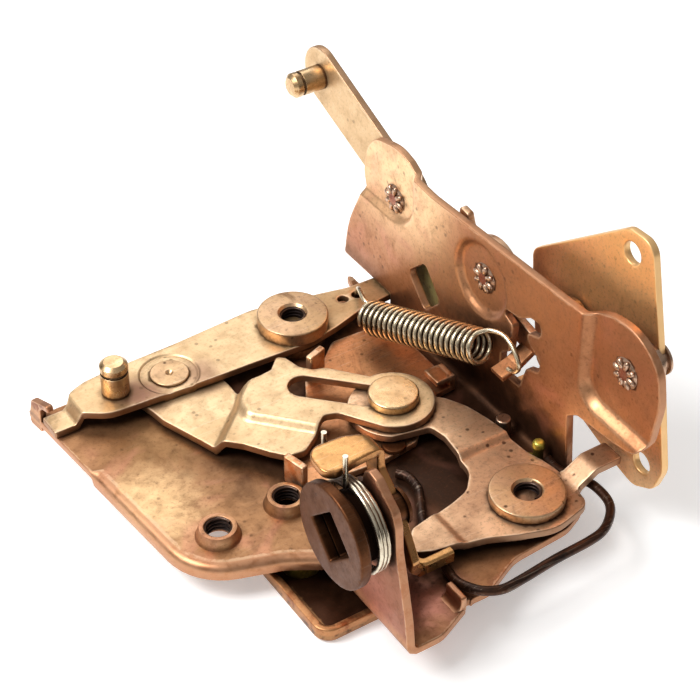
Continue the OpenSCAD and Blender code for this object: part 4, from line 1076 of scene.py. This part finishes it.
def long_coil(turns):
    a, b = np.array([3, 55.6, 6.5]), np.array([8, 25.9, 17.1])
    u = unit(b - a)
    s = unit(np.cross(u, [0, 0, 1]))
    t = np.cross(s, u)
    k = 26
    f = np.arange(int(turns * k) + 1)
    w = 2 * math.pi * f / k
    row = a + np.outer(f / (turns * k), b - a) + 3.15 * (np.outer(np.cos(w), s) + np.outer(np.sin(w), t))
    head = curve_through([(6.4, 66.1, 1.2), (6.4, 66.1, 4.2), (6.2, 65.4, 6), (5.4, 63.6, 7), (4.2, 60, 7.4),
                          (4.6, 57.6, 6.6), row[0]], 6)[:-1]
    tail = curve_through([row[-1], (9.4, 25.9, 20.5), (10.7, 23.6, 20.6), (10.9, 21, 19.9),
                          (10.7, 18.6, 18.2), (10.6, 17.9, 16.2), (10.5, 19.2, 14.6),
                          (10.4, 20.8, 14.2)], 7)[1:]
    return np.concatenate([head, row, tail])


BENT_WIRE = [(9.7, 6.9, 2.9), (10.15, 5.2, 1.9), (11, 3.4, 1.3), (12.5, 0.6, 1.2), (13.2, -3, 1.8),
             (12.8, -7.4, 2), (11.1, -10.4, 2), (7.5, -13.1, 2), (3.4, -14, 2), (-4.3, -14.3, 2),
             (-12.1, -15, 2), (-16.4, -15.1, 2), (-19.6, -13.5, 2), (-21.3, -10.5, 1.6), (-21.6, -7.8, 1.1),
             (-21, -4, 1), (-20, 1.4, 0.95), (-18.1, 6.9, 0.95), (-16, 10.6, 0.95), (-13.9, 14.5, 1),
             (-13.6, 18.2, 1), (-14.8, 20.2, 1)]


# ---- what a user can change


def number(label, about, value, least, most, **more):
    return bpy.props.FloatProperty(name=label, description=about, default=value, min=least, max=most, **more)


def colour(label, about, value):
    return bpy.props.FloatVectorProperty(name=label, description=about, default=value, size=3, min=0, max=1,
                                         subtype="COLOR")


class LockSizes(bpy.types.PropertyGroup):
    fineness: number("Mesh step", "Spacing of the points inside a sheet", 0.0009, 0.0005, 0.003,
                     unit="LENGTH")
    coil_turns: number("Long spring turns", "Turns of the long spring", 21.25, 12, 26)
    long_wire: number("Long spring wire", "Radius of the long spring's wire", 0.0005, 0.0003, 0.0006,
                      unit="LENGTH")
    bent_wire: number("Bent wire", "Radius of the black bent wire", 0.0009, 0.0005, 0.001, unit="LENGTH")
    petals: bpy.props.IntProperty(name="Staked petals", description="Petals on each staked shaft end",
                                  default=8, min=4, max=12)
    thread_pitch: number("Thread pitch", "Rise of one turn of the tapped threads", 0.0008, 0.0005, 0.0015,
                         unit="LENGTH")


class LockFinishes(bpy.types.PropertyGroup):
    copper: colour("Frame", "Main tone of the plated frame", (0.5, 0.25, 0.115))
    copper_light: colour("Frame, light", "Lighter tone of the frame", (0.64, 0.37, 0.18))
    champagne: colour("Levers", "Main tone of the pale levers", (0.8, 0.57, 0.33))
    champagne_deep: colour("Levers, deep", "Deeper tone of the pale levers", (0.6, 0.39, 0.2))
    tan: colour("Crank", "Main tone of the crank", (0.6, 0.36, 0.21))
    tan_light: colour("Crank, light", "Lighter tone of the crank", (0.86, 0.56, 0.34))
    gold: colour("Key lever", "Tone of the gold key lever", (0.6, 0.32, 0.12))
    cam: colour("Key cam", "Tone of the dark key cam", (0.11, 0.04, 0.016))
    bush: colour("Bushes", "Tone of the threaded bushes", (0.6, 0.38, 0.22))
    spring: colour("Springs", "Tone of the bright springs", (0.8, 0.72, 0.56))
    deep_copper: colour("Lock lever", "Tone of the lever below the link", (0.66, 0.29, 0.13))
    outer: colour("Outer plate", "Main tone of the outer plate", (1.0, 0.45, 0.2))
    outer_light: colour("Outer plate, light", "Lighter tone of the outer plate", (0.88, 0.45, 0.15))
    # Grime also gives the colour of the painted shade in corners.
    grime: colour("Grime", "Tone of oil and grime", (0.1, 0.035, 0.015))
    floor: colour("Floor", "Tone of the floor", (0.95, 0.95, 0.95))


class LockLight(bpy.types.PropertyGroup):
    sky: number("Soft light", "Strength of the even light", 0.5, 0, 5)
    key: number("Key light", "Power of the large lamp", 1.7, 0, 50, unit="POWER")
    lens: number("Lens", "Focal length in millimetres", 102.857, 30, 200)


def step_mm():
    return bpy.context.scene.lock_sizes.fineness * 1000


# ---- operators, one for each piece or group of like pieces


class MakeFrame(bpy.types.Operator):
    """Folded frame sheet with its rim, pads, bosses and hook ear"""
    bl_idname = "lock.make_frame"
    bl_label = "Frame"

    def execute(self, context):
        piece("folded_frame", "frame", [folded_frame(step_mm()), ear(), front_lug()], "copper_plate",
              "frame_steel", "frame_sheet")
        return {"FINISHED"}


class MakeStrap(bpy.types.Operator):
    """Tie strap and its grooved pin"""
    bl_idname = "lock.make_strap"
    bl_label = "Strap and pin"

    def execute(self, context):
        piece("tie_strap", "frame", [strap_sheet(step_mm())], "pale_plate", "pale_steel", "strap")
        t = STRAP_TOP
        rows = [(0, STRAP_Z), (2, STRAP_Z), (2, t), (2.75, t), (2.75, t + 4.9, 0.1), (2.25, t + 4.9, 0.08),
                (2.25, t + 5.6, 0.08), (2.75, t + 5.6, 0.1), (2.75, t + 6.8, 0.15), (1.95, t + 7.5, 0.25),
                (0, t + 7.5)]
        piece("strap_pin_turned", "frame", [lathe(rows, (-49, 65.9, 0))], "turned_plate", "turned_steel",
              "strap_pin")
        return {"FINISHED"}


class MakeBushes(bpy.types.Operator):
    """Threaded collar bushes and the threads of the tapped bosses"""
    bl_idname = "lock.make_bushes"
    bl_label = "Threaded bushes"

    def execute(self, context):
        low = [(TAP_R, -2.2, 0.1), (4.4, -2.2, 0.2), (4.4, -1.6), (4, -1.6), (4, 0)]
        for name, at, wide, seat, neck, top, node_name in (
            ("strap_bush", BUSH_A, 6.5, STRAP_Z, 4, 7, "bush_a"),
            ("crank_bush", (0, 0), 6.2, 1.4, 3.3, 5.3, "bush_b"),
        ):
            rows = low + [(wide, 0), (wide, seat), (5, seat), (5, neck), (7.1, neck, 0.15),
                          (7.15, top - 0.1, 0.35), (3.0, top, 0.1), (TAP_R, top - 0.5, 0.1), (TAP_R, -1)]
            piece(name, "frame", [lathe(rows, (*at, 0), n=96)], "bush_plate", "bush_steel", node_name)
        for name, at, z0, z1 in (
            ("strap_bush_thread", BUSH_A, -1.8, 6.5), ("crank_bush_thread", (0, 0), -1.8, 4.8),
            ("left_boss_thread", BOSSES[0], -1.3, 1.9), ("right_boss_thread", BOSSES[1], -1.3, 1.9),
        ):
            high = (z1 - z0) / 1000
            mesh = grown(name, "thread_in_hole", "thread_dark", {
                "Radius": 0.00248, "Ridge": 0.00034, "Turns": high / context.scene.lock_sizes.thread_pitch,
                "Height": high})
            mesh.transform(Matrix.Translation((at[0] / 1000, at[1] / 1000, z0 / 1000)))
            piece(name, "frame", mesh, None, "bush_steel", sharp=80)
        return {"FINISHED"}


class MakeLink(bpy.types.Operator):
    """Slotted link and its pivot"""
    bl_idname = "lock.make_link"
    bl_label = "Link and pivot"

    def execute(self, context):
        piece("slotted_link", "link", [link_sheet(step_mm())], "pale_plate", "pale_steel", "link_lever")
        z = STRAP_TOP
        rows = [(0, -2.4), (3.2, -2.4, 0.3), (3.2, -1.6), (2.2, -1.6), (2.2, 0), (3.5, 0), (3.5, 2.5),
                (2.2, 2.5), (2.2, z - 0.4), (3.87, z - 0.4), (3.87, z + 0.3, 0.25), (0.8, z + 0.32, 0.2),
                (0.25, z - 0.1, 0.1), (0, z - 0.2)]
        piece("link_pivot_turned", "frame", [lathe(rows, (*PIVOT_LINK, 0))], "bush_plate", "rivet_steel",
              "link_pivot")
        return {"FINISHED"}


class MakeCrank(bpy.types.Operator):
    """Three-armed crank and the rivet that rides in the link's slot"""
    bl_idname = "lock.make_crank"
    bl_label = "Crank and rivet"

    def execute(self, context):
        piece("three_armed_crank", "crank", [crank_sheet(step_mm())], "tan_plate", "lever_steel", "crank")
        rows = [(0, 2.05), (3.2, 2.05, 0.2), (3.2, 2.6), (2.1, 2.6), (2.1, 4.2), (2.6, 4.2), (2.6, 6.1),
                (4.9, 6.1, 0.1), (4.9, 7.8, 0.4), (0, 7.8)]
        piece("slot_rivet", "crank", [lathe(rows, (*SLOT_PIN, 0), n=80)], "turned_plate", "turned_steel",
              "crank_rivet")
        return {"FINISHED"}


class MakeKey(bpy.types.Operator):
    """Key cam with its square socket, gold key lever and centring spring"""
    bl_idname = "lock.make_key"
    bl_label = "Key cam and lever"

    def execute(self, context):
        square = soft([(*p, 0.3) for p in ring(CAM_AT, 4 * math.sqrt(2), 4)])
        disc = plate(ring(CAM_AT, 9.7, 110), [square], 2.1, 0.4, 1.0, bend=on_x(-42.9))
        hub = plate(ring(CAM_AT, 6.5, 70), [square], 4.2, 0.1, 1.0, bend=on_x(-38.75))
        back = [(0, -38.8), (6.5, -38.8), (6.5, -37.7), (2.8, -37.7), (2.8, -31.3), (3.4, -31.3, 0.1),
                (3.4, -30.5, 0.3), (0, -30.5)]
        step = [(6.2, -42.9), (7, -42.9), (7, -41.4, 0.2), (6.2, -41.4)]
        shells = [disc, hub, lathe(back, (0, *CAM_AT), "x"), lathe(step, (0, *CAM_AT), "x")]
        piece("key_cam_disc", "key", shells, "cam_dark", "dark_cam", "key_cam")
        piece("gold_key_lever", "key", [key_sheet(min(step_mm(), 0.7)), key_hook()], "gold_finish",
              "gold_plate", "key_lever")
        wire_piece("centring_spring", "key", coil_round_key(), 0.0005, "spring_steel", "spring_wire",
                   "torsion_spring")
        return {"FINISHED"}


class MakeSprings(bpy.types.Operator):
    """Long spring, black bent wire and the studs beside them"""
    bl_idname = "lock.make_springs"
    bl_label = "Springs and studs"

    def execute(self, context):
        s = context.scene.lock_sizes
        wire_piece("long_spring_coil", "frame", long_coil(s.coil_turns), s.long_wire, "brass_steel",
                   "spring_wire", "long_spring")
        wire_piece("bent_wire_spring", "frame", curve_through(BENT_WIRE, 6), s.bent_wire, "wire_finish",
                   "black_wire", "wire_spring", sides=16)
        clip = standing([(7.8, 11, 0.3), (9.1, 12, 0.3), (10.4, 10.6, 0.4), (10.4, 5.4, 0.3), (9.6, 5.2, 0.3),
                         (9, 7.4, 0.5)], 0, 0.8, 0.15)
        post = lathe([(0, -1.6), (1, -1.6), (1, 3.2), (1.3, 4.2, 0.8), (1.1, 5.3, 0.7), (0, 5.45)],
                     (9.6, 9.2, 0), n=32)
        piece("yellow_stud", "frame", [clip, post], "yellow_plate", "gold_plate", "spring_stud")
        stop = lathe([(0, -1.6), (1.2, -1.6), (1.2, 0), (1.5, 0), (1.5, 4, 0.35), (0, 4)],
                     (8.9, 19.2, 0), n=40)
        piece("stop_stud_turned", "frame", [stop], "plain_steel", "rivet_steel", "stop_stud")
        return {"FINISHED"}


class MakeLockLever(bpy.types.Operator):
    """Copper lever below the link, with its tabs and rivet"""
    bl_idname = "lock.make_lock_lever"
    bl_label = "Lock lever"

    def execute(self, context):
        tabs = (([(-33, 30.5), (-31.6, 31), (-30.4, 26), (-31.9, 25.6)], 0.25, 6.4),
                ([(-15, 51.6), (-10.8, 53.1), (-10.4, 51.7), (-14.5, 50.2)], 0.25, 7.4),
                ([(7.2, 34.4), (8.6, 34.4), (8.6, 39), (7.2, 39)], 0.25, 4),
                ([(4.2, 34.4), (7.6, 34.4), (7.6, 39), (4.2, 39)], 2.7, 4))
        shells = [lock_sheet(step_mm() * 1.4), *(standing(*tab) for tab in tabs)]
        piece("copper_lock_lever", "lock", shells, "deep_copper", "copper_steel", "lock_lever")
        rows = [(0, -2.2), (2.4, -2.2, 0.2), (2.4, -1.6), (1.6, -1.6), (1.6, 1.7), (2.4, 1.7),
                (2.2, 2.3, 0.2), (0, 2.4)]
        piece("lock_pivot_turned", "frame", [lathe(rows, (*PIVOT_LOCK, 0), n=40)], "cam_dark", "dark_cam",
              "lock_pivot")
        return {"FINISHED"}


class MakeTray(bpy.types.Operator):
    """Shallow tray below the base and its spacers"""
    bl_idname = "lock.make_tray"
    bl_label = "Tray"

    def execute(self, context):
        wall = np.array([(2.3, 0), (2.0, 0), (1.62, -0.12), (1.5, -0.5), (1.5, -1.45), (1.3, -1.68),
                         (0.2, -1.68), (0, -1.45), (0, 0.6), (0.3, 1.2), (0.9, 1.5), (2.3, 1.5)])
        outline = soft([(-45.1, -1.9, 3.2), (6, -1.9, 3.2), (6, 50, 3.2), (-45.1, 50, 3.2)])
        tray = plate(outline, (), 1.5, 0.2, 1.6, bend=at_z(-6.7), rim=(lambda q: np.ones(len(q)), wall))
        piece("pressed_tray", "frame", [tray], "tray_plate", "tray_steel", "under_tray")
        posts = [lathe([(0, -6.7), (3.8, -6.7, 0.2), (3.8, -1.6, 0.2), (0, -1.6)], (x, y, 0), n=48)
                 for x, y in ((-38.2, 16.4), (-2, 43), (-38.5, 43))]
        piece("tray_spacers", "frame", posts, "yellow_plate", "tray_steel", "tray_posts")
        return {"FINISHED"}


class MakeOuter(bpy.types.Operator):
    """Outer plate, star wheel, ratchet wheel and their shaft"""
    bl_idname = "lock.make_outer"
    bl_label = "Outer plate and star wheel"

    def execute(self, context):
        outline = soft([(27.8, 34, 3), (27.2, 28, 8), (24.4, 9, 3), (12, 6.2, 6), (0, 2, 3), (-5.8, 0.6, 4),
                        (-11.2, 3.6, 4), (-13.2, 9.2, 5), (-8.5, 34.2, 30), (-3.9, 54.4, 3.2),
                        (2.6, 54, 3.4)])
        holes = [ring(h, 2.2, 36) for h in ((1, 49.6), (-7.5, 7.5), (21.2, 13.4))]
        side = plate(outline, holes, 1.5, 0.25, step_mm(), bend=on_x(21.5))
        foot = plate(soft([(13.7, 12, 0.5), (20.6, 12, 0.4), (20.6, 23, 0.4), (13.7, 23, 0.5)]), t=1.5,
                     step=1.2, bend=at_z(8.9))
        piece("outer_side_plate", "frame", [side, foot], "outer_plate", "outer_steel", "outer_plate")

        def about(r, d):
            """The point at a distance and an angle in degrees from the rotor's axis."""
            return arc(ROTOR_AT, r, d, d, 1)[0]

        star = []
        for d in range(0, 360, 60):
            star += [about(10.4, d + 22), about(10.4, d + 38),
                     *arc(about(11.6, d + 60), 3.6, d + 301.5, d + 178.5, 9)]
        wheel = plate(star, [ring(ROTOR_AT, ROTOR_HOLE)], 5.0, 0.35, 0.9, bend=on_x(26.8))
        piece("star_wheel", "star", [wheel], "plain_steel", "turned_steel", "rotor")
        shaft = [(0, 14.4), (3, 14.4, 0.3), (3, 18.4), (4.7, 18.4, 0.2), (4.7, 19.8, 0.2), (3, 19.8),
                 (3, 26.8, 0.3), (0, 26.8)]
        piece("star_shaft", "star", [lathe(shaft, (0, *ROTOR_AT), "x", 48)], "turned_plate", "turned_steel",
              "rotor_shaft")
        teeth = [(*about(r, 45 * i + math.degrees(a)), 0.3) for i in range(8)
                 for r, a in ((6.6, 0.45), (6.6, 0.72), (5.2, 0.785))]
        rim = plate(soft(teeth), [ring(ROTOR_AT, ROTOR_HOLE)], 1.8, 0.2, 0.8, bend=on_x(17.1))
        piece("ratchet_teeth", "star", [rim], "plain_steel", "turned_steel", "ratchet_wheel")
        return {"FINISHED"}


class MakePawl(bpy.types.Operator):
    """Pawl behind the end plate, with its spring tab"""
    bl_idname = "lock.make_pawl"
    bl_label = "Pawl"

    def execute(self, context):
        row = [*arc(SHAFT_2, 7.5, -75, 222, 60), (20.6, 20.8, 1), (18.2, 20, 0.5), (17.4, 17, 0.8),
               (23, 15.8, 2), (29.6, 17.6, 4)]
        tail = soft([(34, 33, 0.3), (38, 25, 0.3), (44.6, 32.4, 0.8), (44.2, 35.6, 0.6), (41.6, 35.3, 0.6),
                     (40.6, 32.6, 1)])
        path = soft_run([(15.9, 16.7, 0), (12.2, 14.3, 1.2), (8.5, 13.2, 0)])
        path = np.column_stack([path[:, 0], np.full(len(path), 21.5), path[:, 1]])
        shells = [plate(soft(row, 0), [ring(SHAFT_2, SHAFT_HOLE)], LEVER_T, 0.2, 1.0, bend=on_x(16.7)),
                  plate(tail, t=LEVER_T - 0.12, edge=0.25, step=0.8, bend=on_x(16.64)),
                  box_run(path, 3.8, 1.25, (0, 0, 1), 0.3)]
        piece("pawl_plate", "pawl", shells, "deep_copper", "copper_steel", "pawl")
        return {"FINISHED"}


class MakeUpperArm(bpy.types.Operator):
    """Outside-handle arm and its grooved pin"""
    bl_idname = "lock.make_upper_arm"
    bl_label = "Upper arm and pin"

    def execute(self, context):
        u = unit(ARM_PIN - SHAFT_1)
        left = np.array([-u[1], u[0]])
        across = math.degrees(math.atan2(*left[::-1]))
        row = [*arc(ARM_PIN, 6.25, across - 180, across, 30), (*(SHAFT_1 + left * 6 + u * 9), 6),
               *arc(SHAFT_1, 8, 75, 190, 20), (50.2, 9, 4), (50.4, 3.4, 3), (62, 4.6, 3), (69.2, 22.8, 4)]
        arm = plate(soft(row, 0), [ring(SHAFT_1, SHAFT_HOLE)], LEVER_T, 0.25, step_mm(), bend=on_x(17.0))
        piece("handle_arm", "handle", [arm], "arm_plate", "pale_steel", "upper_arm")
        rows = [(0, 8.0), (1.8, 8.0, 0.25), (2.6, 8.75, 0.15), (2.6, 9.9, 0.08), (2.15, 9.9, 0.05),
                (2.15, 10.5, 0.05), (2.6, 10.5, 0.08), (2.6, 15.4), (1.8, 15.4), (1.8, 17.05, 0.1),
                (0, 17.05)]
        piece("handle_pin_turned", "handle", [lathe(rows, (0, *ARM_PIN), "x", 56)], "turned_plate",
              "turned_steel", "upper_arm_pin")
        return {"FINISHED"}


class MakeShafts(bpy.types.Operator):
    """Three staked shafts of the end plate"""
    bl_idname = "lock.make_shafts"
    bl_label = "Staked shafts"

    def execute(self, context):
        stake = {"Petals": context.scene.lock_sizes.petals, "Ring radius": 0.00195}
        turn = Matrix.Rotation(math.radians(90), 4, "Y") @ Matrix.Rotation(math.radians(12), 4, "Z")
        for name, at, x, node_name, ends in (
            ("upper_shaft", SHAFT_1, 13.5, "upper_arm_shaft",
             [(2.6, 17.1), (4.2, 17.1, 0.1), (4.2, 18.5, 0.3), (0, 18.5)]),
            ("pawl_shaft_turned", SHAFT_2, 13.2, "pawl_shaft",
             [(2.6, 16.85), (4.2, 16.85, 0.1), (4.2, 18.2, 0.3), (0, 18.2)]),
            ("tie_shaft_turned", SHAFT_3, 14.0, "tie_shaft",
             [(2.6, 15.6), (3.6, 15.6, 0.1), (3.6, 20), (2.6, 20), (2.6, 21.5), (3.2, 21.5), (3.2, 22.1, 0.3),
              (0, 22.1)]),
        ):
            rows = [(0, x - 0.35), (2.5, x - 0.35, 0.15), (3.0, x - 0.05), (3.0, x + 0.4), (2.6, x + 0.4)]
            core = lathe(rows + ends, (0, *at), "x", 48)
            piece(name, "frame", [core], "plain_steel", "rivet_steel", node_name)
            heart = lathe([(0, x - 0.6), (0.45, x - 0.72, 0.15), (1.25, x - 0.78, 0.2), (1.5, x - 0.3),
                           (1.5, x), (0, x)], (0, *at), "x", 32)
            piece(name + "_heart", "frame", [heart], "stake_red", "rivet_steel")
            petals = grown(name + "_petals", "staked_petals", "plain_steel", dict(stake))
            petals.transform(Matrix.Translation(((x - 0.42) / 1000, at[0] / 1000, at[1] / 1000)) @ turn)
            piece(name + "_petals", "frame", petals, None, "rivet_steel", sharp=80)
        return {"FINISHED"}


class CornerShadeAndGrime(bpy.types.Operator):
    """Painted shade and grime where the pieces meet"""
    bl_idname = "lock.gather_grime"
    bl_label = "Shade and grime in corners"

    def execute(self, context):
        shade_and_grime_in_corners()
        return {"FINISHED"}


class MakeStage(bpy.types.Operator):
    """Pale floor, soft light and the camera"""
    bl_idname = "lock.make_stage"
    bl_label = "Stage"

    def execute(self, context):
        light = context.scene.lock_light
        mesh = bpy.data.meshes.new("pale_floor")
        corners = [(x * FLOOR_HALF, y * FLOOR_HALF, FLOOR_Z) for x, y in ((-1, -1), (1, -1), (1, 1), (-1, 1))]
        mesh.from_pydata(corners, [], [(0, 1, 2, 3)])
        mat = bpy.data.materials.new("floor_paper")
        mat.use_nodes = True
        shader = mat.node_tree.nodes["Principled BSDF"]
        for key, value in (("Base Color", (*context.scene.lock_finishes.floor, 1)), ("Roughness", 0.9),
                           ("Emission Color", (1, 1, 1, 1)), ("Emission Strength", 0.32)):
            shader.inputs[key].default_value = value
        mesh.materials.append(mat)
        floor = bpy.data.objects.new("pale_floor", mesh)
        context.scene.collection.objects.link(floor)
        world = bpy.data.worlds.new("soft_room")
        world.use_nodes = True
        nt = world.node_tree
        seen = node(nt, "ShaderNodeTexCoord").outputs["Generated"]
        way = node(nt, "ShaderNodeSeparateXYZ", {0: seen}).outputs
        up = span(nt, way["Z"], -0.05, 0.75, 0.22, 1.0)
        side = span(nt, way["X"], -0.9, 0.9, 1.0, 0.72)
        sky = nt.nodes["Background"].inputs
        nt.links.new(blend(nt, times(nt, up, side), (0, 0, 0), (1, 0.985, 0.96)), sky["Color"])
        sky["Strength"].default_value = light.sky
        context.scene.world = world
        context.scene.view_settings.view_transform = "Standard"
        for name, at, size, power in (("key_lamp", (-0.26, 0.1, 0.34), 0.22, light.key),
                                      ("far_lamp", (0.1, 0.42, 0.45), 0.35, light.key * 0.5)):
            lamp = bpy.data.lights.new(name, "AREA")
            lamp.energy, lamp.size = power, size
            obj = bpy.data.objects.new(name, lamp)
            obj.location = at
            obj.rotation_euler = (LAMPS_AIM - Vector(at)).to_track_quat("-Z", "Y").to_euler()
            context.scene.collection.objects.link(obj)
        data = bpy.data.cameras.new("photo_camera")
        data.sensor_width, data.lens = 36, light.lens
        data.clip_start, data.clip_end = 0.01, 20
        camera = bpy.data.objects.new("photo_camera", data)
        turn = Matrix((CAMERA_RIGHT, CAMERA_UP, CAMERA_BACK)).transposed()
        camera.matrix_world = Matrix.Translation(CAMERA_AT) @ turn.to_4x4()
        context.scene.collection.objects.link(camera)
        context.scene.camera = camera
        return {"FINISHED"}


STEPS = (MakeFrame, MakeStrap, MakeBushes, MakeLink, MakeCrank, MakeKey, MakeSprings, MakeLockLever, MakeTray,
         MakeOuter, MakePawl, MakeUpperArm, MakeShafts, CornerShadeAndGrime, MakeStage)


class LockPanel(bpy.types.Panel):
    """Lists the steps that make the door lock"""
    bl_idname = "VIEW3D_PT_door_lock"
    bl_label = "Car door lock"
    bl_space_type = "VIEW_3D"
    bl_region_type = "UI"
    bl_category = "Door lock"

    def draw(self, context):
        for group in (context.scene.lock_sizes, context.scene.lock_finishes, context.scene.lock_light):
            box = self.layout.box()
            for name in group.__annotations__:
                box.prop(group, name)
        for step in STEPS:
            self.layout.operator(step.bl_idname)


CLASSES = (LockSizes, LockFinishes, LockLight, *STEPS, LockPanel)


def register():
    for c in CLASSES:
        bpy.utils.register_class(c)
    bpy.types.Scene.lock_sizes = bpy.props.PointerProperty(type=LockSizes)
    bpy.types.Scene.lock_finishes = bpy.props.PointerProperty(type=LockFinishes)
    bpy.types.Scene.lock_light = bpy.props.PointerProperty(type=LockLight)


def unregister():
    del bpy.types.Scene.lock_sizes, bpy.types.Scene.lock_finishes, bpy.types.Scene.lock_light
    for c in reversed(CLASSES):
        bpy.utils.unregister_class(c)


def main():
    register()
    for step in STEPS:
        group, name = step.bl_idname.split(".")
        getattr(getattr(bpy.ops, group), name)()


if __name__ == "__main__":
    main()
